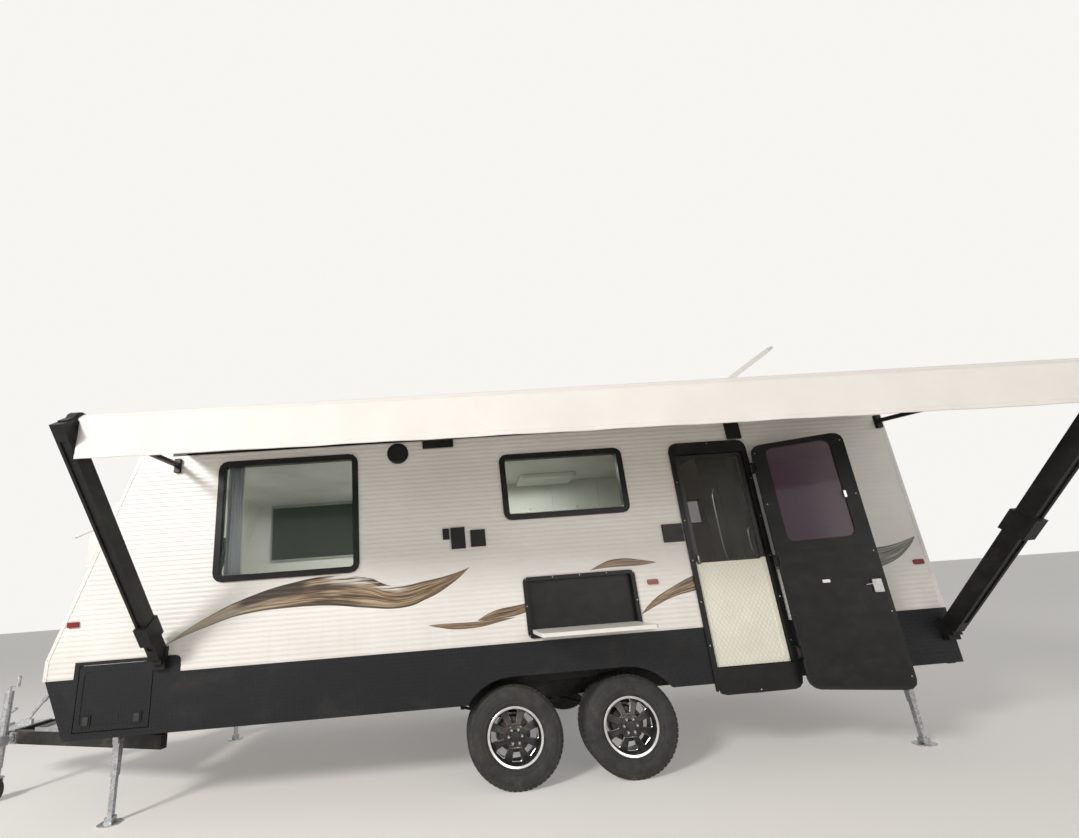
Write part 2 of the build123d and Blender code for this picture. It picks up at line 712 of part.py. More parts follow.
def make_walls():
    near = side_wall(NEAR, DOOR_SIDE_WINDOWS)
    along, height, width, tall = TABLE_FRAME
    table = panel(NEAR, *frame_cut(along, height, width, tall, TABLE_BAR), -20, WALL + 20)
    keep("wall_door_side", cut(near, [door_cut(), table]))
    keep("wall_off_side", side_wall(OFF, off_windows()))
    slope = WALL / COS_RAKE
    bend = RAKE_FOOT + (WALL - slope) / TAN_RAKE
    outside = [(0, CLADDING_FOOT), (0, RAKE_FOOT), (rake_at(WALL_TOP), WALL_TOP)]
    inside = [(rake_at(WALL_TOP) + slope, WALL_TOP), (WALL, bend), (WALL, CLADDING_FOOT)]
    front = outline(outside + inside, -INSIDE, INSIDE)
    wide, tall = BODY_WIDTH - FRONT_WINDOW_MARGIN - WINDOW_BAR, FRONT_WINDOW_TALL - WINDOW_BAR
    hole = RAKE_PLANE.location * (Pos(0, FRONT_WINDOW_RISE, 0) * Box(wide, tall, 4 * WALL))
    keep("wall_front", front - hole)
    rear = box(back(BODY_LENGTH - WALL), back(BODY_LENGTH), -INSIDE, INSIDE, up(CLADDING_FOOT), up(WALL_TOP))
    keep("wall_rear", rear)


def make_roof():
    level = WALL_TOP + ROOF
    arch = [(HALF * t, level + CROWN * (1 - t * t)) for t in (-1, -0.6, 0, 0.6, 1)]
    crown = [(-HALF, WALL_TOP), *arch, (HALF, WALL_TOP)]
    start = back(rake_at(WALL_TOP) - ROOF_LIP)
    face = make_face(Polyline(*[(start, y, up(h)) for y, h in crown], close=True))
    roof = extrude(face, amount=back(BODY_LENGTH) - start, dir=(1, 0, 0))
    hatch = Pos(back(HATCH_ALONG), 0, up(level)) * Box(HATCH_SIZE, HATCH_SIZE, 3 * ROOF)
    keep("roof_panel", roof - hatch)


def boot_pins(side):
    """The two short pins that a boot door's top corners turn on."""
    a0, a1, low, top = BOOT_DOOR
    z, y = up(top - BOOT_PIN_DROP), depth(side, BOOT_PIN_DEPTH)
    pairs = ((a0 - RUNNING - 0.5, a0 + 12), (a1 + RUNNING + 0.5, a1 - 12))
    return [rod((back(start), y, z), (back(end), y, z), BOOT_PIN) for start, end in pairs]


def make_skirts():
    for side, name in ((NEAR, "skirt_door_side"), (OFF, "skirt_off_side")):
        faces = (depth(side, -SKIRT_PROUD), depth(side, WALL))
        plate = outline([(SKIRT_NOSE, CLADDING_FOOT), (BODY_LENGTH, CLADDING_FOOT), (BODY_LENGTH, SKIRT_FOOT),
                         (NOSE_SETBACK, SKIRT_FOOT)], *faces)
        plate = plate + outline(boot_outline(1), *faces)
        arches = []
        for along in AXLES:
            ends = [(back(along), depth(side, d), up(WHEEL_HEIGHT)) for d in (-20, WALL + 20)]
            arches.append(rod(*ends, ARCH_RADIUS, ARCH_SIDES))
        arches.append(body_box(side, *AXLES, -20, WALL + 20, SKIRT_FOOT - 100, WHEEL_HEIGHT + ARCH_RADIUS))
        a0, a1, h0, h1 = BOOT_DOOR
        arches.append(body_box(side, a0 - RUNNING, a1 + RUNNING, -20, WALL + 20, h0 - RUNNING, h1 + RUNNING))
        if side == NEAR:
            arches.append(door_cut())
        keep(name, join([cut(plate, arches), *boot_pins(side)]))
    slope = WALL * 1.1
    upper = [(SKIRT_NOSE, CLADDING_FOOT), (SKIRT_NOSE + slope, CLADDING_FOOT)]
    nose = outline(upper + [(NOSE_SETBACK + slope, SKIRT_FOOT), (NOSE_SETBACK, SKIRT_FOOT)], -INSIDE, INSIDE)
    notch = RAIL_WIDTH / 2 + 10
    for side in (NEAR, OFF):
        ends = (side * RAIL_OFFSET - notch, side * RAIL_OFFSET + notch)
        nose = nose - box(DRAWBAR, back(NOSE_SETBACK + 80), *ends, up(SKIRT_FOOT - 5), up(FLOOR_UNDER + 1))
    ends = (back(BODY_LENGTH - WALL), back(BODY_LENGTH))
    tail = box(*ends, -INSIDE, INSIDE, up(FLOOR_UNDER), up(CLADDING_FOOT))
    keep("skirt_ends", nose, tail)


def make_boot_doors():
    a0, a1, h0, h1 = BOOT_DOOR
    for side, name in ((NEAR, "boot_door_door_side"), (OFF, "boot_door_off_side")):
        middle, wide, tall = ((a0 + a1) / 2, (h0 + h1) / 2), a1 - a0, h1 - h0
        leaf = panel(side, *middle, wide, tall, -SKIRT_PROUD, 20)
        pressed = rounded(side, *middle, wide - 70, tall - 70, 30, -SKIRT_PROUD - 1, 3 - SKIRT_PROUD)
        lock = panel(side, (a0 + a1) / 2, h0 + 80, 90, 50, 4 - SKIRT_PROUD, 1 - SKIRT_PROUD)
        y, z = depth(side, BOOT_PIN_DEPTH), up(h1 - BOOT_PIN_DROP)
        leaf = (leaf - pressed) + lock
        for start, end in ((a0 - 1, a0 + 13), (a1 + 1, a1 - 13)):
            leaf = leaf - bore((back(start), y, z), (back(end), y, z), BOOT_PIN + GAP)
        keep(name, leaf)


# Windows
def ring(side, along, height, width, tall, radius, bar, proud):
    """A frame: a rounded flange on the wall's face and a square sleeve through the wall."""
    flange = rounded(side, along, height, width, tall, radius, -proud, -GAP)
    sleeve = panel(side, along, height, width - bar - 2 * GAP, tall - bar - 2 * GAP, -GAP, WALL + 3)
    corner = max(radius - bar, INNER_CORNER)
    hole = rounded(side, along, height, width - 2 * bar, tall - 2 * bar, corner, -proud - 5, WALL + 10)
    return flange + sleeve - hole


def make_windows():
    frames, panes = [], []
    inner = 2 * WINDOW_BAR + 2 * GAP
    for side, windows in ((NEAR, DOOR_SIDE_WINDOWS), (OFF, off_windows())):
        for along, height, width, tall, radius in windows:
            frames.append(ring(side, along, height, width, tall, radius, WINDOW_BAR, WINDOW_PROUD))
            corner = max(radius - WINDOW_BAR, INNER_CORNER)
            skin_depth = (-PANE_OUT, PANE - PANE_OUT)
            panes.append(rounded(side, along, height, width - inner, tall - inner, corner, *skin_depth))
    wide, tall, rise = BODY_WIDTH - FRONT_WINDOW_MARGIN, FRONT_WINDOW_TALL, FRONT_WINDOW_RISE
    flange = Pos(0, rise, GAP) * extrude(soft_rectangle(wide, tall, FRONT_WINDOW_RADIUS), amount=WINDOW_PROUD)
    play = WINDOW_BAR + 2 * GAP
    sleeve = Pos(0, rise, GAP - WALL / 2) * Box(wide - play, tall - play, WALL)
    hole = Pos(0, rise, 0) * Box(wide - 2 * WINDOW_BAR, tall - 2 * WINDOW_BAR, 4 * WALL)
    frames.append(RAKE_PLANE.location * (flange + sleeve - hole))
    glass = Box(wide - inner, tall - inner, PANE)
    panes.append(RAKE_PLANE.location * (Pos(0, rise, PANE_OUT - PANE / 2) * glass))
    keep("window_frames", *frames)
    keep("window_panes", *panes)


# Entry door
def make_door_frame():
    middle = (DOOR_FOOT + DOOR_TOP) / 2
    along = DOOR_ALONG + DOOR_WIDTH / 2
    tall = DOOR_TOP - DOOR_FOOT
    flange = rounded(NEAR, along, middle, DOOR_WIDTH, tall, DOOR_RADIUS, -DOOR_PROUD, -SKIRT_PROUD - GAP)
    inset = DOOR_BAR + 2 * GAP
    sleeve = panel(NEAR, along, middle, DOOR_WIDTH - inset, tall - inset, -SKIRT_PROUD - GAP, WALL + 3)
    hole = body_box(NEAR, OPENING[0], OPENING[1], -40, WALL + 20, DOOR_SILL, DOOR_HEAD)
    frame = flange + sleeve - hole
    x, y = back(SCREEN_AXIS[0]), depth(NEAR, SCREEN_AXIS[1])
    for low, high in ((DOOR_SILL - 1, DOOR_SILL + 22), (DOOR_HEAD - 22, DOOR_HEAD + 1)):
        frame = frame + rod((x, y, up(low)), (x, y, up(high)), SCREEN_PIN)
    x, y = back(LEAF_AXIS[0]), depth(NEAR, LEAF_AXIS[1])
    for height in KNUCKLES:
        pin = rod((x, y, up(height - 42)), (x, y, up(height + 42)), HINGE_PIN)
        reach = (y - HINGE_BARREL, depth(NEAR, 2 - DOOR_PROUD))
        lugs = []
        for s in (-1, 1):
            lugs.append(box(x - 8, x + HINGE_INSET, *reach, up(height + s * 32), up(height + s * 44)))
        frame = join([frame, pin, *lugs])
    keep("door_frame", frame)


def opened(shape):
    """Turn a piece of the leaf from closed to where it stands open."""
    axis = Axis((back(LEAF_AXIS[0]), depth(NEAR, LEAF_AXIS[1]), 0), (0, 0, 1))
    return shape.rotate(axis, DOOR_OPEN)


def make_door_leaf():
    a0, a1 = DOOR_ALONG + LEAF_EDGE, LEAF_AXIS[0] - 8
    middle = ((a0 + a1) / 2, (LEAF_FOOT + LEAF_TOP) / 2)
    out = LEAF_AXIS[1] + LEAF_STANDOFF
    leaf = rounded(NEAR, *middle, a1 - a0, LEAF_TOP - LEAF_FOOT, LEAF_RADIUS, out, out + LEAF)
    pane = (sum(PANE_ALONG) / 2, sum(PANE_HEIGHT) / 2)
    pane = (*pane, PANE_ALONG[1] - PANE_ALONG[0], PANE_HEIGHT[1] - PANE_HEIGHT[0])
    surround = rounded(NEAR, pane[0], pane[1], pane[2] + 52, pane[3] + 52, PANE_RADIUS + 10, out - 5, out + 1)
    leaf = leaf + surround - rounded(NEAR, *pane, PANE_RADIUS, out - 20, out + LEAF + 20)
    along, height, width, tall = LATCH
    leaf = leaf + panel(NEAR, along, height, width, tall, out + LEAF - 1, out + LEAF + 12)
    leaf = leaf + panel(NEAR, along + 10, height, 84, 130, out - 9, out + 1)
    leaf = leaf + panel(NEAR, *CATCH, out + LEAF - 1, out + LEAF + 10)
    x, y = back(LEAF_AXIS[0]), depth(NEAR, LEAF_AXIS[1])
    for height in KNUCKLES:
        leaf = leaf - box(x - 16, x + 30, y - 30, y + 60, up(height - 46), up(height + 46))
        low, high = up(height - KNUCKLE_HALF), up(height + KNUCKLE_HALF)
        strap = box(x - 40, x, y - 1, y + HINGE_BARREL, low, high)
        barrel = rod((x, y, low), (x, y, high), HINGE_BARREL)
        leaf = leaf + (strap + barrel - bore((x, y, low - 9), (x, y, high + 9), HINGE_PIN + GAP))
    keep("door_leaf", opened(leaf))
    pane = (pane[0], pane[1], pane[2] - 2 * GAP, pane[3] - 2 * GAP)
    keep("door_leaf_pane", opened(rounded(NEAR, *pane, PANE_RADIUS - GAP, out + 9, out + 15)))


def make_screen_door():
    """A frame with an open, meshed upper half and a pressed panel below."""
    a0, a1 = OPENING[0] + RUNNING, OPENING[1] - RUNNING
    h0, h1 = DOOR_SILL + RUNNING, DOOR_HEAD - RUNNING
    outer, inner = SCREEN_SKIN
    door = body_box(NEAR, a0, a1, outer, inner, h0, h1)
    window = (a0 + SCREEN_STILE, a1 - SCREEN_STILE, SCREEN_RAIL, h1 - SCREEN_STILE)
    door = door - body_box(NEAR, window[0], window[1], outer - 5, inner + 5, window[2], window[3])
    pressed = (h0 + SCREEN_STILE, SCREEN_RAIL - SCREEN_STILE)
    for d0, d1 in ((outer - 1, outer + 6), (inner - 6, inner + 1)):
        door = door - body_box(NEAR, window[0], window[1], d0, d1, *pressed)
    door = door + body_box(NEAR, a0 + 6, a0 + 30, inner - 1, inner + 12, SCREEN_RAIL - 20, SCREEN_RAIL + 70)
    x, y = back(SCREEN_AXIS[0]), depth(NEAR, SCREEN_AXIS[1])
    for low, high in ((h0 - 1, h0 + 18), (h1 - 18, h1 + 1)):
        door = door - bore((x, y, up(low)), (x, y, up(high)), SCREEN_PIN + GAP)
    keep("screen_door", door)
    middle = (outer + inner) / 2
    a0, a1, h0, h1 = window[0] + GAP, window[1] - GAP, window[2] + GAP, window[3] - GAP
    keep("screen_mesh", body_box(NEAR, a0, a1, middle, middle + SCREEN_MESH, h0, h1))


# Fold-down picnic table
def make_table():
    along, height, width, tall = TABLE_FRAME
    frame = ring(NEAR, along, height, width, tall, TABLE_RADIUS, TABLE_BAR, TABLE_PROUD)
    board = panel(NEAR, along, height, width - TABLE_BAR - 1, tall - TABLE_BAR - 1, TABLE_BOARD, WALL + 3)
    axis = height - tall / 2 + TABLE_BAR + 14
    y, z = depth(NEAR, 0), up(axis)
    half = width / 2 - TABLE_BAR
    pins = []
    for s in (-1, 1):
        root, tip = back(along + s * (half + 1)), back(along + s * (half - 18))
        pins.append(rod((root, y, z), (tip, y, z), TABLE_PIN))
    keep("table_frame", join([frame, board, *pins]))
    far = height + tall / 2 - TABLE_BAR - RUNNING - axis
    reach = half - RUNNING
    corners = [(-reach, 8), (reach, 8), (reach, FLAP_CORNER - far), (reach - FLAP_CORNER, -far),
               (FLAP_CORNER - reach, -far), (-reach, FLAP_CORNER - far)]
    flap = plan([(back(along) + x, y + across) for x, across in corners], z - 8, z + FLAP_THICK - 8)
    for s in (-1, 1):
        mouth, end = back(along + s * (half - 5)), back(along + s * (half - 20))
        flap = flap - bore((mouth, y, z), (end, y, z), TABLE_PIN + GAP)
    keep("table_flap", flap)


# Stone guard over the front window: places are (up the rake, out from it)
def guard_piece(points, half):
    """A profile swept across the front."""
    line = Polyline(*[(0, rise, out) for rise, out in points], close=True)
    return Pos(-half, 0, 0) * extrude(make_face(line), amount=2 * half, dir=(1, 0, 0))


def make_stone_guard():
    half = (BODY_WIDTH - GUARD_MARGIN) / 2
    foot, lip, knee, brow, top = GUARD_PROFILE
    t = GUARD_SHELL
    inner = [(foot[0] + t, foot[1] - 1), (lip[0] + t, lip[1] - t), (knee[0], knee[1] - t - 1),
             (brow[0] - t, brow[1] - t), (top[0] - t, top[1] - 1)]
    hood = guard_piece(GUARD_PROFILE, half) - guard_piece(inner, half - t)
    (root_rise, root_out), (tip_rise, tip_out) = GUARD_STAY
    end = half - 14
    stay = rod((end, root_rise - 6, root_out - 12), (end, tip_rise, tip_out), 10)
    hinge_rise, hinge_out = GUARD_HINGE
    parts = [hood, stay]
    brackets = []
    for x in (-half * 0.75, 0, half * 0.75):
        left, right = ((x + s * 30, hinge_rise, hinge_out) for s in (-1, 1))
        strap = Pos(x, (hinge_rise + brow[0]) / 2 - 4, hinge_out) * Box(60, hinge_rise - brow[0] + 8, 8)
        way_through = bore((x - 40, hinge_rise, hinge_out), (x + 40, hinge_rise, hinge_out), 5 + GAP)
        parts.append(rod(left, right, 9) + strap - way_through)
        pin = rod((x - 44, hinge_rise, hinge_out), (x + 44, hinge_rise, hinge_out), 5)
        lug = Pos(0, hinge_rise + 2, (hinge_out + 5) / 2) * Box(10, 16, hinge_out + 9)
        lugs = [Pos(x + s * 38, 0, 0) * lug for s in (-1, 1)]
        brackets.append(RAKE_PLANE.location * join([pin] + lugs))
    keep("stone_guard", RAKE_PLANE.location * join(parts))
    keep("wall_front", join([NODES["wall_front"], *brackets]))


# Roof hatch and antenna
def hatch_frame():
    x, z = back(HATCH_ALONG), up(WALL_TOP + ROOF)
    outer, inner = HATCH_SIZE + 2 * HATCH_FLANGE, HATCH_SIZE - HATCH_FLANGE
    seat = Pos(x, 0, z + CROWN + 18) * Box(outer + 4, outer, 35)
    throat = Pos(x, 0, z) * Box(HATCH_SIZE - GAP, HATCH_SIZE - GAP, 50)
    frame = seat + throat - Pos(x, 0, z) * Box(inner, inner, 200)
    return frame, x + outer / 2 + 12, z


def make_roof_hatch():
    frame, hinge_x, z = hatch_frame()
    hinge_z = z + 66
    outer = HATCH_SIZE + 2 * HATCH_FLANGE
    lugs = []
    lid = Pos(back(HATCH_ALONG), 0, z + 60 + RUNNING + HATCH_LID / 2) * Box(outer, outer, HATCH_LID)
    low = z + 60 + RUNNING + HATCH_LID
    dome = [four((back(HATCH_ALONG), 0, low + rise), (1, 0, 0), (0, 1, 0), outer - inset, outer - inset)
            for rise, inset in ((-1, 20), (24, 110))]
    parts = [lid, skin(dome)]
    for s in (-1, 1):
        y = s * 120
        for t in (-1, 1):
            lugs.append(box(hinge_x - 11, hinge_x + 6, y + t * 32, y + t * 44, z + 40, z + 58))
            lugs.append(box(hinge_x - 6, hinge_x + 6, y + t * 32, y + t * 44, z + 50, hinge_z + 6))
        lugs.append(rod((hinge_x, y - 44, hinge_z), (hinge_x, y + 44, hinge_z), 4))
        parts.append(rod((hinge_x, y - 31, hinge_z), (hinge_x, y + 31, hinge_z), 8))
        parts.append(box(hinge_x - 30, hinge_x, y - 31, y + 31, hinge_z, hinge_z + 8))
    lid = join(parts)
    for s in (-1, 1):
        lid = lid - bore((hinge_x, s * 120 - 50, hinge_z), (hinge_x, s * 120 + 50, hinge_z), 4 + GAP)
    keep("roof_hatch_lid", lid)
    return join([frame] + lugs)


def make_antenna(hatch):
    """The aerial's base is filed with the hatch frame; its mast and flat head lift together."""
    base_z = up(WALL_TOP + ROOF)
    x, y, z = back(ANTENNA_ALONG), depth(NEAR, ANTENNA_INBOARD), base_z + ANTENNA_RISE
    base = box(x - 70, x + 70, y - 60, y + 60, base_z - 1, base_z + CROWN + 4)
    lugs = [box(x - 22, x + 22, y + s * 30, y + s * 42, base_z + CROWN, z + 22) for s in (-1, 1)]
    pin = rod((x, y - 42, z), (x, y + 42, z), 8)
    keep("roof_fittings", hatch, join([base, pin, *lugs]) - NODES["roof_panel"])
    turn = math.radians(ANTENNA_ANGLE)
    way = Vector(math.cos(turn), 0, math.sin(turn))
    shoulder = Vector(x, y, z) + way * ANTENNA_MAST
    mast = square_bar((x, y, z), tuple(shoulder), 40, 36) + rod((x, y - 24, z), (x, y + 24, z), 18)
    mast = mast - bore((x, y - 50, z), (x, y + 50, z), 8 + GAP)
    upward = (-way.Z, 0, way.X)
    head = []
    for reach, wide, thick in ANTENNA_HEAD:
        head.append(four(tuple(shoulder + way * reach), (0, 1, 0), upward, wide, thick))
    keep("antenna_arm", mast + skin(head))


# Awning
def arm_line(index):
    """Foot of an arm's middle line, its head beyond the roller, and the roller's end."""
    x = back(ARM_ALONG[index])
    foot = Vector(x, depth(NEAR, -ARM_FOOT_OUT[index]), up(ARM_FOOT_HEIGHT[index]))
    end = Vector(x, depth(NEAR, -ROLLER_OUT[index]), up(ROLLER_HEIGHT[index]))
    reach = end - foot
    aside = math.asin(ARM_OUTSIDE[index] / reach.length)
    level = math.atan2(reach.Z, -reach.Y) - aside
    length = math.sqrt(reach.length ** 2 - ARM_OUTSIDE[index] ** 2)
    head = foot + Vector(0, -math.cos(level), math.sin(level)) * length
    return foot, head, end


def make_arm(index):
    foot, head, end = arm_line(index)
    way = (head - foot).normalized()
    bar = square_bar(tuple(foot), tuple(head + way * 40), ARM_WIDTH, ARM_DEEP)
    groove = Vector(0, way.Z, -way.Y) * (-ARM_DEEP / 2)
    for side in (groove * -1, groove):
        start, end_of_groove = foot + way * 90 + side, head - way * 60 + side
        bar = bar - square_bar(tuple(start), tuple(end_of_groove), ARM_WIDTH - 36, 16)
    lock = foot + (head - foot) * ARM_LOCK[index]
    lever = square_bar(tuple(lock - way * 75), tuple(lock + way * 75), ARM_WIDTH + 10, ARM_DEEP + 44)
    face = depth(NEAR, -SKIRT_PROUD - GAP)
    plate = box(foot.X - 44, foot.X + 44, face, foot.Y + 6, foot.Z - 96, foot.Z + 54)
    seat = box(foot.X - 35, foot.X + 35, depth(NEAR, -SKIRT_PROUD - 4), foot.Y - 24, foot.Z - 60, foot.Z + 30)
    link = square_bar(tuple(end), tuple(head), ARM_WIDTH - 22, 96)
    disc = Rot(0, 90, 0) * stack(((-24, ROLLER_CAP), (24, ROLLER_CAP)), 16)
    cap = Pos(end.X, end.Y, end.Z) * disc
    arm = join([bar, lever, plate, seat, link, cap])
    return arm - box(foot.X - 90, foot.X + 90, face, depth(NEAR, WALL), foot.Z - 200, foot.Z + 200)


def make_awning():
    arms, rafters, ends = [], [], []
    for index in (0, 1):
        foot, head, end = arm_line(index)
        ends.append(end)
        arm = make_arm(index)
        arms.append(arm)
        top = (end.X, depth(NEAR, -20), up(RAIL_LEVEL - 94))
        seat = box(top[0] - 22, top[0] + 22, depth(NEAR, -GAP), top[1] - 8, top[2] - 60, top[2] + 50)
        rafter = square_bar(top, (end.X, end.Y + 50, end.Z + 8), 34, 30)
        rafters.append((seat + rafter) - arm)
    keep("awning_arms", *arms)
    left, right = ends
    way = (right - left).normalized()
    keep("awning_roller", rod(tuple(left + way * ROLLER_END), tuple(right - way * ROLLER_END), ROLLER_RADIUS))
    sheet, strip = [], []
    for point in (left + way * CANOPY_INSET, right - way * CANOPY_INSET):
        x = point.X
        rail_y, rail_z = depth(NEAR, -5), up(RAIL_LEVEL)
        roll_y, roll_z = point.Y, point.Z + ROLLER_RADIUS + 1
        under = [(x, rail_y, rail_z), (x, roll_y, roll_z)]
        sheet.append(under + [(x, y, z + CLOTH) for x, y, z in reversed(under)])
        y = roll_y - ROLLER_RADIUS - 1
        foot = point.Z - VALANCE_DROP
        strip.append([(x, y, point.Z), (x, y, foot), (x, y - CLOTH, foot), (x, y - CLOTH, point.Z)])
    keep("awning_canopy", skin(sheet))
    keep("awning_valance", skin(strip))
    x0, x1 = back(ARM_ALONG[0] - 50), back(ARM_ALONG[1] + 20)
    rail = box(x0, x1, depth(NEAR, -GAP), depth(NEAR, -4.7), up(RAIL_LEVEL - 14), up(RAIL_LEVEL + 12))
    keep("awning_rail_and_rafters", rail, *rafters)


# Steadies, jockey wheel, bumper, lamps and fittings
def steady_leg(x, y, z):
    """A tapered outer leg with a knuckle, an inner tube and a dished foot."""
    foot_x, foot_y, sheet = STEADY_FOOT
    knuckle = rod((x, y - 22, z), (x, y + 22, z), 24)
    sleeve = [four((x, y, h), (1, 0, 0), (0, 1, 0), wide, wide) for h, wide in ((z - 230, 40), (z, 46))]
    tube = box(x - 16, x + 16, y - 16, y + 16, GROUND + sheet, z - 220)
    corner = [(foot_x, -34), (foot_x, 34), (34, foot_y), (-34, foot_y)]
    ring_of_corners = corner + [(-a, -b) for a, b in corner]
    pad = plan([(x + a, y + b) for a, b in ring_of_corners], GROUND, GROUND + sheet)
    shoe = box(x - 26, x + 26, y - 26, y + 26, GROUND + sheet - 1, GROUND + 46)
    leg = join([knuckle, skin(sleeve), tube, pad, shoe])
    return leg - bore((x, y - 60, z), (x, y + 60, z), STEADY_PIN + GAP)


def make_steadies():
    brackets = []
    for along, place in zip(STEADY_ALONG, ("front", "rear")):
        for side, hand in ((NEAR, "door"), (OFF, "off")):
            x, y, z = back(along), side * STEADY_OUT, up(STEADY_HINGE)
            under = up(FLOOR_UNDER - CROSS_HEIGHT)
            lugs = [box(x - 20, x + 20, y + s * 28, y + s * 36, z - 18, under) for s in (-1, 1)]
            pin = rod((x, y - 36, z), (x, y + 36, z), STEADY_PIN)
            plate = box(x - 40, x + 40, y - 40, y + 40, under - 6, under)
            brackets.append(join([*lugs, pin, plate]))
            keep("steady_%s_%s" % (place, hand), steady_leg(x, y, z))
    return brackets


def make_jockey(brackets):
    """The jockey wheel beside its drawbar rail: local X runs back along the rail, local Y towards it."""
    level = up(DRAWBAR_MID)
    place = Pos(JOCKEY_X, -JOCKEY_Y, level) * Rot(0, 0, -DRAWBAR_TURN)
    to_rail = (JOCKEY_Y - drawbar_y(JOCKEY_X)) * math.cos(math.radians(DRAWBAR_TURN)) - RAIL_WIDTH / 2
    ground = -DRAWBAR_MID
    pin = rod((0, 31, 0), (0, to_rail - 6, 0), 16)
    flange = box(-45, 45, to_rail - 20, to_rail - GAP, -45, 45)
    keep("stand_brackets", place * (pin + flange), *brackets)
    top = ground + JOCKEY_TOP
    tube = rod((0, 0, ground + 240), (0, 0, top), JOCKEY_TUBE, TUBE_SIDES)
    handle = rod((0, 0, top - 1), (0, 0, top + 45), 9) + rod((0, 0, top + 40), (110, 0, top + 40), 9)
    grip = rod((100, 0, top + 34), (100, 0, top + 120), 13)
    collar = box(-40, 40, -36, 24, -38, 38) + rod((0, 20, 0), (0, to_rail - 26, 0), 32)
    whole = join([tube, handle, grip, collar]) - bore((0, 31 - GAP, 0), (0, to_rail, 0), 16 + GAP)
    keep("jockey_tube", place * (whole - bore((0, 0, ground + 230), (0, 0, top - 8), 25, TUBE_SIDES)))
    r = JOCKEY_RADIUS
    half = JOCKEY_WIDTH / 2
    axle_z = ground + r
    stem = rod((0, 0, axle_z + r + 15), (0, 0, ground + 700), 25 - GAP, TUBE_SIDES)
    bridge = box(-30, 30, -44, 44, axle_z + r + 6, axle_z + r + 16)
    cheeks = [box(-18, 18, s * 37, s * 44, axle_z - 18, axle_z + r + 10) for s in (-1, 1)]
    axle = rod((0, -44, axle_z), (0, 44, axle_z), 8)
    keep("jockey_fork", place * join([stem, bridge, *cheeks, axle]))
    tread = stack(((-half, r - 12), (10 - half, r), (half - 10, r), (half, r - 12)), HUB_SIDES)
    for s in (0, 180):
        tread = tread - Rot(s, 0, 0) * stack(((half - 10, r - 30), (half + 1, r - 26)), HUB_SIDES)
    hub = stack(((-half - 3, 18), (half + 3, 18)), ROD_SIDES)
    wheel = Pos(0, 0, axle_z) * Rot(-90, 0, 0) * (tread + hub)
    keep("jockey_wheel", place * (wheel - bore((0, -50, axle_z), (0, 50, axle_z), 8 + GAP)))


def make_rear():
    x0 = back(BODY_LENGTH)
    low, high = up(FLOOR_UNDER - RAIL_TAIL_HEIGHT), up(FLOOR_UNDER - 6)
    half = HALF - BUMPER_INSET
    bumper = box(x0, x0 + BUMPER, -half, half, low, high)
    stays = []
    for side in (NEAR, OFF):
        y = side * RAIL_OFFSET
        stays.append(box(x0 - BUMPER, x0, y - RAIL_WIDTH / 2, y + RAIL_WIDTH / 2, low, high))
    wide, tall, sheet = PLATE
    plate = box(x0 + BUMPER, x0 + BUMPER + sheet, -wide / 2, wide / 2, low + 6, low + 6 + tall)
    bumper = join([bumper, *stays, plate])
    for y in (-HOLE_SPACING / 2, HOLE_SPACING / 2):
        hole_z = up(FLOOR_UNDER - RAIL_TAIL_HEIGHT / 2 - 3)
        bumper = bumper - Pos(x0 + BUMPER / 2, y, hole_z) * Rot(0, 90, 0) * Cylinder(HOLE_RADIUS, BUMPER + 20)
    keep("rear_bumper", bumper)


def make_lamps():
    x0 = back(BODY_LENGTH)
    lamps = []
    width, tall, proud = MARKER
    markers = (*MARKERS, (BODY_LENGTH - REAR_MARKER[0], REAR_MARKER[1]))
    for side in (NEAR, OFF):
        y = side * (HALF - LAMP_INSET)
        lamp = box(x0 + GAP, x0 + 16, y - 34, y + 34, up(LAMP_FOOT), up(LAMP_FOOT + LAMP_TALL))
        for k in range(3):
            low = LAMP_FOOT + LENS_INSET + k * LENS_STEP
            lens = [four((x0 + 15 + out, y, up(low + 36)), (0, 1, 0), (0, 0, 1), 56 - inset, 68 - inset)
                    for out, inset in ((0, 0), (18, 12))]
            lamp = lamp + skin(lens)
        lamps.append(lamp)
        for along, height in markers:
            lamps.append(rounded(side, along, height, width, tall, 8, -proud, -GAP))
    keep("tail_lamps", *lamps)


def make_fittings():
    pieces = [panel(NEAR, *place, -FITTING_PROUD, -GAP) for place in FITTINGS]
    along, height, radius = SPEAKER
    disc = stack(((GAP, radius), (10, radius), (FITTING_PROUD, radius - 16)), BOTTLE_SIDES)
    pieces.append(Pos(back(along), depth(NEAR, 0), up(height)) * Rot(90, 0, 0) * disc)
    keep("wall_fittings", *pieces)


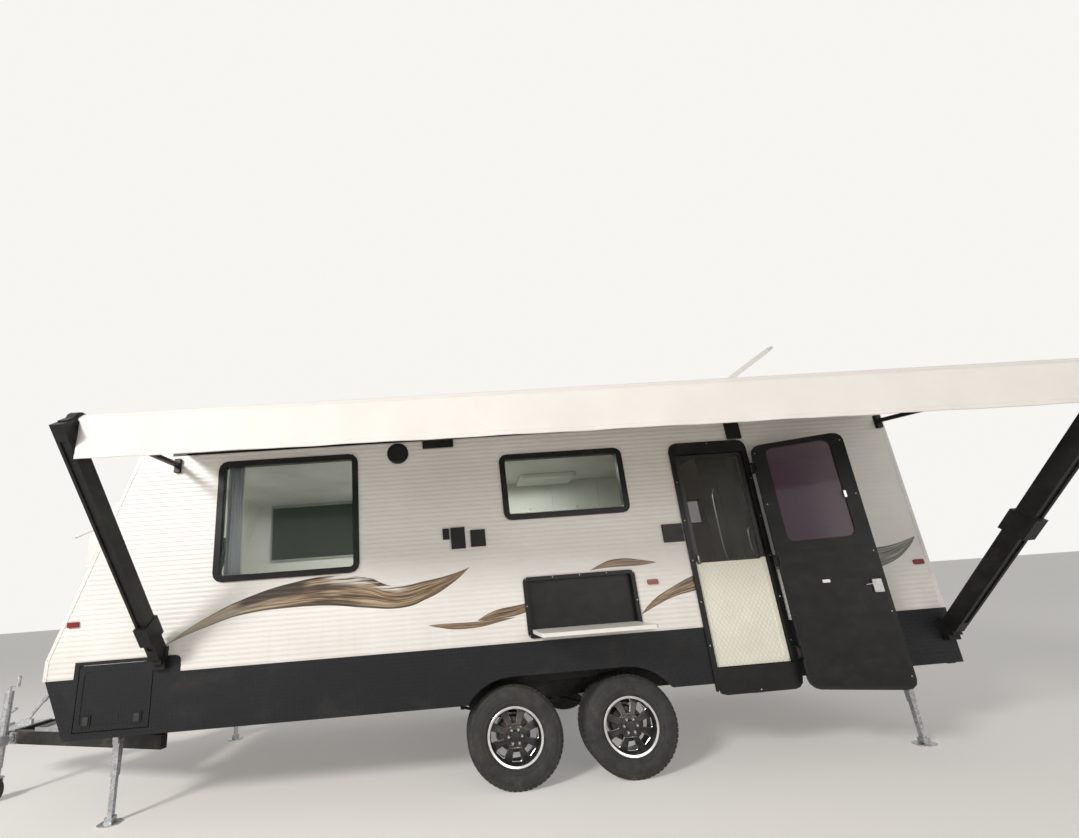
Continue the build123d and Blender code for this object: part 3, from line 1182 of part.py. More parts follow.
# Inside, as far as the windows and the door show it
def make_inside():
    base = FLOOR_UNDER + FLOOR
    under_roof = WALL_TOP - GAP
    start, end, margin, rise = BED
    keep("bed_base", box(back(start), back(end), margin - HALF, HALF - margin, up(base), up(base + rise)))
    m_start, m_end, m_margin, thick = MATTRESS
    keep("mattress", box(back(m_start), back(m_end), m_margin - HALF, HALF - m_margin, up(base + rise + GAP),
                         up(base + rise + thick)))
    b_start, b_deep, b_tall = BENCH
    b_end = DOOR_ALONG - BENCH_TO_DOOR
    bench = body_box(NEAR, b_start, b_end, LINING + 4, b_deep, base, base + b_tall)
    bench = bench - well_box(NEAR, GAP, WALL - 5, FLOOR_UNDER, WELL_TOP)
    l_start, l_deep, l_tall = NEAR_LOCKER
    near_locker = body_box(NEAR, l_start, b_end, LINING, l_deep, WALL_TOP - l_tall, under_roof)
    wall_start = DOOR_END + BATHROOM_WALL
    o_start, o_deep, o_tall = OFF_LOCKER
    off_locker = body_box(OFF, o_start, wall_start - GAP, LINING, o_deep, WALL_TOP - o_tall, under_roof)
    x0, x1 = back(wall_start), back(wall_start + BATHROOM_SHEET)
    across = box(x0, x1, LINING - HALF, HALF - LINING, up(base), up(under_roof))
    half, tall = BATHROOM_DOOR
    across = across - box(x0 - 10, x1 + 10, -half, half, up(base - 5), up(base + tall))
    keep("furniture", bench, near_locker, off_locker, across)
    deep, seat_tall = SEAT
    room = well_box(OFF, GAP, WALL - 5, FLOOR_UNDER, WELL_TOP)
    seats = [body_box(OFF, a0, a1, LINING, deep, base, base + seat_tall) - room for a0, a1 in SEATS]
    a0, a1, t_deep, t_height, t_thick = DINETTE_TOP
    top = body_box(OFF, a0, a1, WALL + GAP, t_deep, base + t_height, base + t_height + t_thick)
    c0, c1, d0, d1 = DINETTE_LEG
    leg = body_box(OFF, c0, c1, d0, d1, base, base + t_height + 5)
    keep("dinette", *seats, top + leg)


def main():
    make_chassis()
    make_coupling()
    make_tray_and_bottles()
    make_running_gear()
    make_wheels()
    make_floor_and_wells()
    make_walls()
    make_roof()
    make_skirts()
    make_boot_doors()
    make_windows()
    make_door_frame()
    make_door_leaf()
    make_screen_door()
    make_table()
    make_stone_guard()
    make_antenna(make_roof_hatch())
    make_awning()
    make_jockey(make_steadies())
    make_rear()
    make_lamps()
    make_fittings()
    make_inside()
    os.makedirs("parts", exist_ok=True)
    for name, shape in NODES.items():
        export_step(shape, "parts/%s.step" % name)
    print(len(NODES), "nodes")


main()
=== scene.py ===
# %% [markdown]
# A travel caravan, dressed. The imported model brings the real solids: walls, skirt, chassis, doors,
# wheels, awning. Everything here is in its frame and in metres: X runs rearwards from the tow ball, the
# entry door is on the -Y side and Z is up. This lesson gives each solid its finish and adds what is too
# fine for solids, such as ribs, screws, tread and cloth.

# %% Load the frame
import json
import math

import bmesh
import bpy
from mathutils import Matrix, Vector


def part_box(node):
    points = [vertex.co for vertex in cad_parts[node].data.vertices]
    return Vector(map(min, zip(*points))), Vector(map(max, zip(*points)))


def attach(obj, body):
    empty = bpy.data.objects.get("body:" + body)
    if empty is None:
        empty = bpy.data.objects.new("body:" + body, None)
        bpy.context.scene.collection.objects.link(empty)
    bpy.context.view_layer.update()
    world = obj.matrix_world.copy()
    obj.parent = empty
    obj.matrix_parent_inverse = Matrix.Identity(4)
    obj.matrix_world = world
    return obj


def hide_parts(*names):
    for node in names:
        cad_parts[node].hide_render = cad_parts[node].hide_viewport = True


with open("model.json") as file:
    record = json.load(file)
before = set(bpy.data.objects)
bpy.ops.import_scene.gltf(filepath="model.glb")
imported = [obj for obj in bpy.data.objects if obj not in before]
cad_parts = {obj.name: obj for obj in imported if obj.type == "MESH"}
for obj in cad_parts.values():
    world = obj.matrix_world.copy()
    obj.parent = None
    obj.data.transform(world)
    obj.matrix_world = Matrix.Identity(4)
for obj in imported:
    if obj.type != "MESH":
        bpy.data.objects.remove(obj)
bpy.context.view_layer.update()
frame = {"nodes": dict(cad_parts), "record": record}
nodes = frame["nodes"]
print("frame:", len(nodes), "nodes")

# %% [markdown]
# Places are named once, as a builder would call them out: so far back along the body, so high over the
# ground. The walls' outer faces come from the frame itself, so a change of size there carries over.

# %% Places on the body
GROUND = -0.45
BODY_FRONT = 1.45
WALL_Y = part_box("roof_panel")[1][1]
BODY_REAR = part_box("wall_rear")[1][0]
WALL_TOP = 2640
RAKE = math.radians(18.6)
RAKE_FOOT = 1115
BODY_LENGTH = (BODY_REAR - BODY_FRONT) * 1000
NEAR, OFF = -1, 1


def back(along):
    """X of a place counted from the body's front corner, given in millimetres."""
    return BODY_FRONT + along / 1000


def up(height):
    """Z of a height over the ground, given in millimetres."""
    return GROUND + height / 1000


def inward(side, depth):
    """Y of a place this far inside the outer face of a side wall, given in millimetres."""
    return side * (WALL_Y - depth / 1000)


def rake_at(height):
    """How far behind the front corner the front wall lies at a height, in millimetres."""
    return max(0, height - RAKE_FOOT) * math.tan(RAKE)


print("body from", round(BODY_FRONT, 3), "to", round(BODY_REAR, 3), "wall at", WALL_Y)

# %% [markdown]
# The camera stands where the photographer stood. The straight lines of the photograph gave its place, and
# the picture was held a little tilted, so the camera rolls by about four degrees.

# %% Camera
PHOTO_WIDE, PHOTO_HIGH = 1079, 838
FOCAL, CENTRE_U, CENTRE_V = 450.0, 461.0, 476.2
YAW, PITCH, ROLL = 0.047, 0.257, -0.078
EYE = Vector((4.319, -4.6603, 0.8996))
SENSOR = 36


def new_object(name, data):
    """An object for a mesh, a lamp or a camera, put in the scene."""
    obj = bpy.data.objects.new(name, data)
    bpy.context.scene.collection.objects.link(obj)
    return obj


def look_axes(yaw, pitch, roll):
    """The camera's right, up and forward directions."""
    forward = Vector((math.sin(yaw) * math.cos(pitch), math.cos(yaw) * math.cos(pitch), math.sin(pitch)))
    level = Vector((math.cos(yaw), -math.sin(yaw), 0))
    upright = level.cross(forward)
    right = math.cos(roll) * level + math.sin(roll) * upright
    return right, math.cos(roll) * upright - math.sin(roll) * level, forward


right, upward, forward = look_axes(YAW, PITCH, ROLL)
camera_data = bpy.data.cameras.new("photo_camera")
camera_data.sensor_width = SENSOR
camera_data.lens = FOCAL / PHOTO_WIDE * SENSOR
camera_data.shift_x = (PHOTO_WIDE / 2 - CENTRE_U) / PHOTO_WIDE
camera_data.shift_y = (CENTRE_V - PHOTO_HIGH / 2) / PHOTO_WIDE
camera_data.clip_start = 0.05
camera = new_object("photo_camera", camera_data)
turn = Matrix((right, upward, -forward)).transposed().to_4x4()
camera.matrix_world = Matrix.Translation(EYE) @ turn
bpy.context.scene.camera = camera
bpy.context.scene.view_settings.view_transform = "Standard"
print("camera with a lens of", round(camera_data.lens, 1), "mm")

# %% [markdown]
# Materials are trees of nodes. A tree is easier to read as sums than as wiring, so one small class wraps
# a socket and lets Python's own operators add the Math nodes. Every other node comes from one method,
# add.


# %% Sockets as numbers
class Signal:
    """An output socket that can be used in sums."""

    def __init__(self, tree, socket):
        self.tree = tree
        self.socket = socket

    def math(self, operation, *others):
        return self.tree.add("ShaderNodeMath", {"operation": operation}, [self, *others])

    def __add__(self, other):
        return self.math("ADD", other)

    def __mul__(self, other):
        return self.math("MULTIPLY", other)

    def __sub__(self, other):
        return self.math("SUBTRACT", other)

    def __rsub__(self, other):
        return self.tree.add("ShaderNodeMath", {"operation": "SUBTRACT"}, [other, self])

    def __truediv__(self, other):
        return self.math("DIVIDE", other)

    __radd__ = __add__
    __rmul__ = __mul__

    def above(self, edge, soft=0.001):
        """0 below the edge and 1 above it, with a soft step between."""
        return self.tree.add("ShaderNodeMapRange", {"interpolation_type": "SMOOTHSTEP"},
                             {"Value": self, "From Min": edge, "From Max": edge + soft})

    def between(self, low, high, soft=0.001):
        return self.above(low, soft) * (1 - self.above(high, soft))


class Tree:
    """A node tree being written, for a material or for a modifier."""

    def __init__(self, tree):
        self.tree = tree

    def add(self, kind, settings=None, sockets=(), out=0):
        """Add a node: its settings first, then the values or links of its sockets."""
        node = self.tree.nodes.new(kind)
        for key, value in (settings or {}).items():
            if key == "stops":
                self.set_stops(node.color_ramp, value)
            elif key == "points":
                self.set_points(node, value)
            else:
                setattr(node, key, value)
        pairs = sockets.items() if isinstance(sockets, dict) else enumerate(sockets)
        for key, value in pairs:
            self.fill(node.inputs[key], value)
        return Signal(self, node.outputs[out])

    def fill(self, socket, value):
        if isinstance(value, Signal):
            self.tree.links.new(value.socket, socket)
        else:
            socket.default_value = value

    def set_stops(self, ramp, stops):
        while len(ramp.elements) < len(stops):
            ramp.elements.new(0.5)
        for element, (place, colour) in zip(ramp.elements, stops):
            element.position = place
            element.color = (*colour, 1)

    def set_points(self, node, points):
        curve = node.mapping.curves[0]
        while len(curve.points) < len(points):
            curve.points.new(0.5, 0.5)
        for handle, (x, y) in zip(curve.points, points):
            handle.location = (x, y)
        node.mapping.update()


class Finish(Tree):
    """A material: a main shader and the signals that most finishes start from."""

    def __init__(self, name, colour=(0.5, 0.5, 0.5), roughness=0.5, **settings):
        self.material = bpy.data.materials.new(name)
        self.material.use_nodes = True
        super().__init__(self.material.node_tree)
        self.shader = next(n for n in self.tree.nodes if n.type == "BSDF_PRINCIPLED")
        self.set("Base Color", (*colour, 1))
        self.set("Roughness", roughness)
        for key, value in settings.items():
            self.set(key.replace("_", " ").title().replace("Ior", "IOR"), value)
        self.place = self.add("ShaderNodeTexCoord", out="Object")
        parts = self.tree.nodes.new("ShaderNodeSeparateXYZ")
        self.tree.links.new(self.place.socket, parts.inputs[0])
        self.x, self.y, self.z = (Signal(self, parts.outputs[k]) for k in range(3))

    def set(self, socket, value):
        self.fill(self.shader.inputs[socket], value)

    def point(self, x, y, z):
        return self.add("ShaderNodeCombineXYZ", None, [x, y, z])

    def noise(self, scale, detail=3.0, roughness=0.5, where=None):
        sockets = {"Vector": where or self.place, "Scale": scale, "Detail": detail, "Roughness": roughness}
        return self.add("ShaderNodeTexNoise", None, sockets)

    def ramp(self, signal, *stops):
        return self.add("ShaderNodeValToRGB", {"stops": stops}, [signal])

    def mix(self, factor, first, second):
        node = self.tree.nodes.new("ShaderNodeMix")
        node.data_type = "RGBA"
        self.fill(node.inputs[0], factor)
        for socket, value in ((node.inputs[6], first), (node.inputs[7], second)):
            self.fill(socket, value if isinstance(value, Signal) else (*value, 1))
        return Signal(self, node.outputs[2])

    def bump(self, height, distance):
        self.set("Normal", self.add("ShaderNodeBump", None, {"Height": height, "Distance": distance}))


print("shader helpers ready")

# %% [markdown]
# The body is clad in white aluminium pressed with a rib every 35 mm. The ribs themselves are modelled
# further down, so the paint here only carries what lies on it: a little road film that gathers low down,
# faint streaks, and the long leaf-shaped stripes. Each stripe is a region between a lower and an upper
# edge, and both edges are curves of the distance along the body. Drawn in the paint, the stripes follow
# every rib.

# %% Cladding paint
BRONZE = ((0.03, 0.017, 0.009), (0.17, 0.105, 0.055), (0.5, 0.39, 0.26))
GREY_GREEN = ((0.09, 0.09, 0.08), (0.2, 0.2, 0.18), (0.42, 0.42, 0.39))
STRIPES = {
    "great_leaf": (BRONZE, [
        (807, 1152, 1152), (1100, 1262, 1330), (1400, 1335, 1455), (1700, 1352, 1530), (1991, 1345, 1562),
        (2250, 1310, 1535), (2505, 1288, 1450), (2705, 1338, 1472), (2875, 1420, 1500), (3042, 1545, 1549)]),
    "low_leaf": (BRONZE, [
        (2705, 1149, 1151), (2794, 1126, 1154), (2902, 1107, 1152), (3050, 1106, 1150), (3238, 1134, 1158),
        (3352, 1156, 1160)]),
    "low_leaf_twin": (BRONZE, [
        (3075, 1154, 1160), (3164, 1150, 1203), (3240, 1156, 1226), (3353, 1168, 1240), (3440, 1188, 1252),
        (3500, 1215, 1262)]),
    "upper_crescent": (BRONZE, [
        (3960, 1452, 1454), (4050, 1463, 1496), (4140, 1466, 1524), (4250, 1465, 1527), (4354, 1464, 1510),
        (4485, 1477, 1483)]),
    "door_leaf_stripe": (BRONZE, [
        (4305, 1103, 1108), (4419, 1155, 1207), (4575, 1213, 1287), (4740, 1245, 1355), (4800, 1255, 1375)]),
    "tail_leaf": (GREY_GREEN, [
        (5480, 1330, 1375), (5800, 1275, 1420), (6020, 1272, 1448), (6200, 1302, 1461), (6375, 1352, 1474),
        (6500, 1424, 1500), (6600, 1518, 1530)]),
}
HUMP = (1260, 1760)
FEATHERED = (1900, 2450)
PALE_END = 900
EDGE_SPARE = 20


def stripe_mask(f, rows):
    """Where a stripe covers the paint, and how far up it a point lies."""
    first, last = rows[0][0], rows[-1][0]
    foot = min(row[1] for row in rows) - EDGE_SPARE
    tall = max(row[2] for row in rows) + EDGE_SPARE - foot
    along = (f.x - back(first)) / ((last - first) / 1000)
    edges = []
    for column in (1, 2):
        points = [((row[0] - first) / (last - first), (row[column] - foot) / tall) for row in rows]
        curve = f.add("ShaderNodeFloatCurve", {"points": points}, {"Value": along})
        edges.append(curve * (tall / 1000) + up(foot))
    lower, upper = edges
    between_edges = (f.z - lower).above(0.0, 0.002) * (upper - f.z).above(0.0, 0.002)
    return between_edges * along.between(0.0, 0.999), (f.z - lower) / (upper - lower + 0.0001)


def stripe_paint(f, palette, rise, name):
    """The colours inside a stripe: long brush streaks between two dark edges."""
    dark, middle, light = palette
    broad = f.noise(1.0, 3.0, 0.6, f.point(f.x * 2.2, 0.0, rise * 7))
    fine = f.noise(1.0, 2.0, 0.5, f.point(f.x * 3.1, 4.0, rise * 26))
    tone = f.ramp(broad * 0.5 + fine * 0.6, (0.44, dark), (0.54, middle), (0.66, light))
    edge = 1 - rise.between(0.05, 0.88, 0.07)
    if name == "great_leaf":
        pale = (1 - f.x.above(back(PALE_END), 0.9)) * 0.7
        tone = f.mix(pale, tone, (0.5, 0.44, 0.35))
        hump = f.x.between(back(HUMP[0]), back(HUMP[1]), 0.12) * (rise + fine * 0.5).above(0.66, 0.14)
        tone = f.mix(hump * 0.94, tone, dark)
    return f.mix(edge * 0.9, tone, dark)


def cladding_finish():
    """White paint with its road film and stripes."""
    f = Finish("cladding_paint", roughness=0.42, coat_weight=0.15)
    film = f.noise(1.3, 5.0, 0.62)
    streak = f.noise(1.0, 4.0, 0.6, f.point(f.x * 26, f.y * 26, f.z * 1.1))
    white = f.ramp(film, (0.3, (0.80, 0.775, 0.74)), (0.7, (0.87, 0.855, 0.83)))
    soiled = f.mix((1 - f.z.above(up(960), 0.5)) * 0.3 * streak, white, (0.6, 0.52, 0.43))
    paint = f.mix(streak.above(0.56, 0.25) * 0.08, soiled, (0.62, 0.58, 0.52))
    for name, (palette, rows) in STRIPES.items():
        inside, rise = stripe_mask(f, rows)
        if name == "great_leaf":
            streaks = f.noise(1.0, 2.0, 0.5, f.point(f.x * 3.0, 9.0, f.z * 60))
            loose = f.x.between(back(FEATHERED[0]), back(FEATHERED[1]), 0.15) * rise.above(0.6, 0.3)
            inside = inside * (1 - loose * streaks.above(0.44, 0.1))
        paint = f.mix(inside, paint, stripe_paint(f, palette, rise, name))
    f.set("Base Color", paint)
    f.set("Roughness", 0.36 + film * 0.16)
    f.bump(f.noise(90, 2.0), 0.0002)
    return f.material


def roof_finish():
    """Roof paint that years of rain have marked."""
    f = Finish("roof_paint", roughness=0.45)
    marks = f.noise(2.2, 6.0, 0.65)
    f.set("Base Color", f.ramp(marks, (0.3, (0.68, 0.66, 0.62)), (0.66, (0.87, 0.87, 0.85))))
    f.bump(f.noise(60, 3.0), 0.0004)
    return f.material


print("cladding and roof paint ready, with", len(STRIPES), "stripes")

# %% [markdown]
# The skirt is black checker plate: short raised bars that lean one way in one square and the other way in
# the next. A shader can lay them out with whole parts and remainders. The side panels use X and Z, the
# end panels Y and Z, and because the other coordinate is constant on each of them, X + Y serves both.


# %% Checker plate
CHECKER_PITCH = 0.027
CHECKER_BUMP = 0.0016
BAR_LONG, BAR_WIDE = 0.2, 0.0125
DIAGONAL = 0.7071


def checker_bars(f, across, rise):
    """1 on the raised bars of checker plate and 0 between them."""
    u, v = across / CHECKER_PITCH, rise / CHECKER_PITCH
    cell_u, cell_v = u.math("FLOOR"), v.math("FLOOR")
    odd = ((cell_u + cell_v) / 2).math("FRACT").above(0.25, 0.01) * 2 - 1
    du, dv = u - cell_u - 0.5, v - cell_v - 0.5
    lengthways = (du + dv * odd) * DIAGONAL
    sideways = (dv - du * odd) * DIAGONAL
    reach = (lengthways * lengthways) / BAR_LONG + (sideways * sideways) / BAR_WIDE
    return 1 - reach.above(0.55, 0.5)


def checker_finish(name, colour, worn, metallic, roughness):
    """Painted checker plate, worn on its bars and dusty in patches."""
    f = Finish(name, roughness=roughness, metallic=metallic)
    bars = checker_bars(f, f.x + f.y, f.z)
    dust = f.noise(3.5, 6.0, 0.65)
    base = f.mix(bars * 0.5 * f.noise(30, 3.0), colour, worn)
    f.set("Base Color", f.mix(dust.above(0.5, 0.25) * 0.12, base, (0.12, 0.105, 0.09)))
    f.set("Roughness", roughness + dust * 0.2 - bars * 0.1)
    f.set("Specular IOR Level", 0.3)
    f.bump(bars, CHECKER_BUMP)
    return f.material


def tread_plate_finish():
    """The drawbar tray's bare metal plate."""
    f = Finish("tray_plate_metal", roughness=0.35, metallic=1.0)
    bars = checker_bars(f, f.x, f.y)
    scuff = f.noise(9, 6.0, 0.7)
    f.set("Base Color", f.ramp(scuff, (0.3, (0.33, 0.33, 0.33)), (0.7, (0.62, 0.62, 0.61))))
    f.set("Roughness", 0.3 + scuff * 0.3)
    f.bump(bars, CHECKER_BUMP)
    return f.material


print("checker plate every", CHECKER_PITCH * 1000, "mm")

# %% [markdown]
# Painted steel, black window rims and galvanised legs share one recipe: a colour that drifts with a large
# noise, a roughness that drifts with a finer one, and a bump as deep as the real orange peel or zinc
# crystals.


# %% Plain finishes
DUST = (0.3, 0.25, 0.19)
FULL_TURN = 2 * math.pi


def drifting(name, low, high, scale, roughness, dust=0.0, **more):
    """A finish whose colour and gloss wander between two values."""
    f = Finish(name, **more)
    wander = f.noise(scale, 5.0, 0.6)
    colour = f.ramp(wander, (0.3, low), (0.7, high))
    if dust:
        film = f.noise(scale * 0.6, 6.0, 0.7, f.point(f.x, f.y, f.z * 2)).above(0.48, 0.3) * dust
        colour = f.mix(film, colour, DUST)
    f.set("Base Color", colour)
    f.set("Roughness", f.noise(scale * 3, 4.0) * (roughness[1] - roughness[0]) + roughness[0])
    f.bump(f.noise(120, 2.0), 0.0002)
    return f.material


def zinc_finish():
    """Galvanised steel: crystals of lighter and darker grey."""
    f = Finish("zinc_coat", metallic=0.9, roughness=0.45)
    crystals = f.add("ShaderNodeTexVoronoi", None, {"Vector": f.place, "Scale": 90.0}, out="Color")
    grey = f.add("ShaderNodeRGBToBW", None, [crystals])
    shade = grey * 0.6 + f.noise(7, 5.0) * 0.4
    f.set("Base Color", f.ramp(shade, (0.2, (0.3, 0.31, 0.32)), (0.8, (0.6, 0.61, 0.62))))
    f.set("Roughness", 0.35 + grey * 0.25)
    f.bump(f.noise(150, 2.0), 0.0002)
    return f.material


def pane_finish(name, tint, alpha):
    """A tinted pane: clear enough to look into the cabin, with its own sharp reflections."""
    f = Finish(name, tint)
    f.set("Alpha", alpha)
    f.set("Roughness", f.noise(8, 4.0, 0.6) * 0.05 + 0.03)
    f.material.surface_render_method = "DITHERED"
    return f.material


def cloth_finish(name, low, high, threads, stain=0.0):
    """Woven cloth, by its threads per metre."""
    f = Finish(name, roughness=0.85, sheen_weight=0.25)
    warp = (f.x * threads * FULL_TURN).math("SINE")
    weft = ((f.y + f.z) * threads * FULL_TURN).math("SINE")
    tone = f.ramp(f.noise(2.4, 6.0, 0.6), (0.3, low), (0.7, high))
    if stain:
        spots = f.noise(1.1, 8.0, 0.75, f.point(f.x, f.y * 3, f.z * 3)).above(0.57, 0.2) * stain
        tone = f.mix(spots, tone, (0.42, 0.36, 0.27))
    f.set("Base Color", tone)
    f.bump(warp * weft, 0.00012)
    return f.material


def wood_finish(name, light, dark):
    """Boards with their grain along the body."""
    f = Finish(name, roughness=0.5)
    grain = f.noise(3.0, 6.0, 0.7, f.point(f.x * 1.2, f.y * 9, f.z * 9))
    f.set("Base Color", f.ramp(grain, (0.35, dark), (0.62, light)))
    f.bump(grain, 0.0003)
    return f.material


def screen_finish(top):
    """The screen door: cream sheet pressed with small diamonds up to a height, and a black frame above it."""
    f = Finish("screen_cream", roughness=0.4)
    u, v = f.x / 0.034, f.z / 0.05
    slope_up, slope_down = (u + v).math("FRACT") - 0.5, (u - v).math("FRACT") - 0.5
    ridge = slope_up.math("ABSOLUTE").math("MINIMUM", slope_down.math("ABSOLUTE"))
    line = 1 - ridge.above(0.03, 0.07)
    tone = f.ramp(f.noise(5, 5.0), (0.3, (0.80, 0.79, 0.66)), (0.7, (0.88, 0.87, 0.77)))
    # The pressed lines are also drawn darker in the colour: this is painted shade in the creases, laid over
    # their real bump.
    cream = f.mix(line * 0.35, tone, (0.6, 0.58, 0.44))
    f.set("Base Color", f.mix(f.z.above(top, 0.001), cream, (0.02, 0.02, 0.019)))
    f.bump(line, 0.0012)
    return f.material


def mesh_finish():
    """Insect mesh: a fine dark weave that lets most of the light through."""
    f = Finish("insect_mesh", (0.03, 0.028, 0.025), 0.6)
    wires = (f.x * 2500).math("SINE").math("MAXIMUM", (f.z * 2500).math("SINE"))
    tone = f.ramp(f.noise(6, 3.0), (0.3, (0.02, 0.018, 0.016)), (0.7, (0.05, 0.045, 0.04)))
    f.set("Base Color", tone)
    f.set("Alpha", wires.above(0.6, 0.3) * 0.25 + 0.35)
    f.material.surface_render_method = "DITHERED"
    return f.material


def rubber_finish():
    """Black rubber with a little dried mud."""
    f = Finish("tyre_rubber", roughness=0.8)
    mud = f.noise(14, 6.0, 0.7)
    black, grey, dried = (0.018, 0.018, 0.018), (0.045, 0.043, 0.04), (0.13, 0.11, 0.085)
    f.set("Base Color", f.ramp(mud, (0.35, black), (0.62, grey), (0.8, dried)))
    f.set("Roughness", 0.65 + mud * 0.25)
    f.bump(f.noise(200, 2.0), 0.0003)
    return f.material


PARTITION = 5480


def furniture_finish():
    """White laminate cupboards, and a dark gloss partition behind the door."""
    f = Finish("furniture_laminate", roughness=0.35)
    white = f.ramp(f.noise(3, 5.0, 0.6), (0.3, (0.76, 0.78, 0.72)), (0.7, (0.86, 0.87, 0.81)))
    grain = f.noise(1.0, 5.0, 0.6, f.point(f.x, f.y * 14, f.z * 1.5))
    dark = f.ramp(grain, (0.35, (0.012, 0.014, 0.009)), (0.65, (0.035, 0.037, 0.025)))
    partition = f.x.above(back(PARTITION - 5), 0.002)
    f.set("Base Color", f.mix(partition, white, dark))
    f.set("Roughness", 0.4 - partition * 0.2)
    f.bump(f.noise(140, 2.0), 0.0001)
    return f.material


print("finishes for paint, zinc, panes, cloth, boards, rubber and laminate ready")

# %% [markdown]
# Now each solid gets its finish. The table reads like a paint schedule: a finish, then the nodes that
# wear it.

# %% Paint schedule
CORNERS = ("front_door", "front_off", "rear_door", "rear_off")


def dull_black(name, low, high, scale, roughness, dust):
    """Black paint with little shine."""
    return drifting(name, low, high, scale, roughness, dust, specular_ior_level=0.22)


def at_corners(stem):
    """The four nodes of one kind, one for each corner."""
    return [stem + corner for corner in CORNERS]


BLACK_PAINT = dull_black("chassis_black", (0.012, 0.012, 0.013), (0.03, 0.029, 0.028), 4, (0.45, 0.65), 0.3)
FRAME_BLACK = dull_black("frame_black", (0.008, 0.008, 0.008), (0.016, 0.016, 0.016), 8, (0.3, 0.45), 0.04)
ARM_BLACK = dull_black("arm_black", (0.008, 0.008, 0.008), (0.018, 0.017, 0.016), 9, (0.35, 0.5), 0.06)
DOOR_BLACK = dull_black("door_black", (0.009, 0.01, 0.01), (0.018, 0.019, 0.019), 5, (0.35, 0.5), 0.05)
CHECKER_BLACK = checker_finish("checker_black", (0.009, 0.01, 0.012), (0.045, 0.045, 0.047), 0.15, 0.38)
WHITE_PLASTIC = drifting("white_plastic", (0.74, 0.73, 0.7), (0.84, 0.83, 0.81), 7, (0.3, 0.45))
LAMINATE = drifting("white_laminate", (0.78, 0.79, 0.74), (0.86, 0.86, 0.82), 3, (0.25, 0.4))
PAINTS = [
    (cladding_finish(), ["wall_door_side", "wall_off_side", "wall_front", "wall_rear"]),
    (roof_finish(), ["roof_panel"]),
    (CHECKER_BLACK,
     ["skirt_door_side", "skirt_off_side", "skirt_ends", "boot_door_door_side", "boot_door_off_side"]),
    (BLACK_PAINT, ["chassis_frame", "drawbar_rails", "rear_bumper", "leaf_springs", "wheel_wells"]),
    (FRAME_BLACK, ["window_frames", "door_frame", "table_frame", "wall_fittings"]),
    (DOOR_BLACK, ["door_leaf"]),
    (ARM_BLACK, ["awning_arms", "awning_rail_and_rafters"]),
    (zinc_finish(),
     ["axles", "stand_brackets", *at_corners("steady_"), "jockey_tube", "jockey_fork", "tow_coupling"]),
    (pane_finish("window_tint", (0.035, 0.055, 0.045), 0.3), ["window_panes"]),
    (pane_finish("leaf_tint", (0.07, 0.028, 0.065), 0.62), ["door_leaf_pane"]),
    (screen_finish(up(1458)), ["screen_door"]),
    (mesh_finish(), ["screen_mesh"]),
    (LAMINATE, ["table_flap", "bed_base"]),
    (furniture_finish(), ["furniture"]),
    (cloth_finish("awning_cloth", (0.84, 0.81, 0.765), (0.88, 0.86, 0.825), 700, stain=0.08),
     ["awning_canopy", "awning_valance", "awning_roller"]),
    (rubber_finish(), [*at_corners("tyre_"), "jockey_wheel"]),
    (drifting("wheel_black", (0.02, 0.02, 0.022), (0.06, 0.06, 0.06), 12, (0.25, 0.45), 0.25, metallic=0.4),
     at_corners("rim_")),
    (tread_plate_finish(), ["drawbar_tray"]),
    (drifting("bottle_grey", (0.36, 0.37, 0.36), (0.5, 0.5, 0.48), 6, (0.4, 0.6), 0.15), ["gas_bottles"]),
    (drifting("lamp_red", (0.17, 0.01, 0.008), (0.27, 0.022, 0.016), 20, (0.12, 0.22)), ["tail_lamps"]),
    (WHITE_PLASTIC, ["stone_guard", "roof_fittings", "roof_hatch_lid", "antenna_arm"]),
    (wood_finish("floor_board", (0.38, 0.29, 0.2), (0.22, 0.15, 0.1)), ["floor_panel"]),
    (cloth_finish("mattress_cloth", (0.66, 0.66, 0.64), (0.78, 0.78, 0.75), 500), ["mattress"]),
    (cloth_finish("seat_cloth", (0.2, 0.2, 0.19), (0.32, 0.31, 0.29), 400), ["dinette"]),
]


def wear(obj, material):
    """Give an object one finish."""
    obj.data.materials.clear()
    obj.data.materials.append(material)


def finish_of(node):
    """The finish that the schedule gave a node, for pieces that match it."""
    return nodes[node].data.materials[0]


painted = set()
for material, names in PAINTS:
    for name in names:
        wear(nodes[name], material)
        painted.add(name)
print("painted:", len(painted), "left:", sorted(set(nodes) - painted))

# %% [markdown]
# What repeats is grown by Geometry Nodes. A tree of its own kind extends the class above: it opens with
# named inputs, and it closes with Realize Instances and Set Material, because an exported model keeps
# neither instances nor a modifier. The tree runs once on a seed of points and lines, and its result is
# kept as a plain mesh.


# %% Growing what repeats
INPUT_KINDS = {float: "NodeSocketFloat", int: "NodeSocketInt", tuple: "NodeSocketVector"}


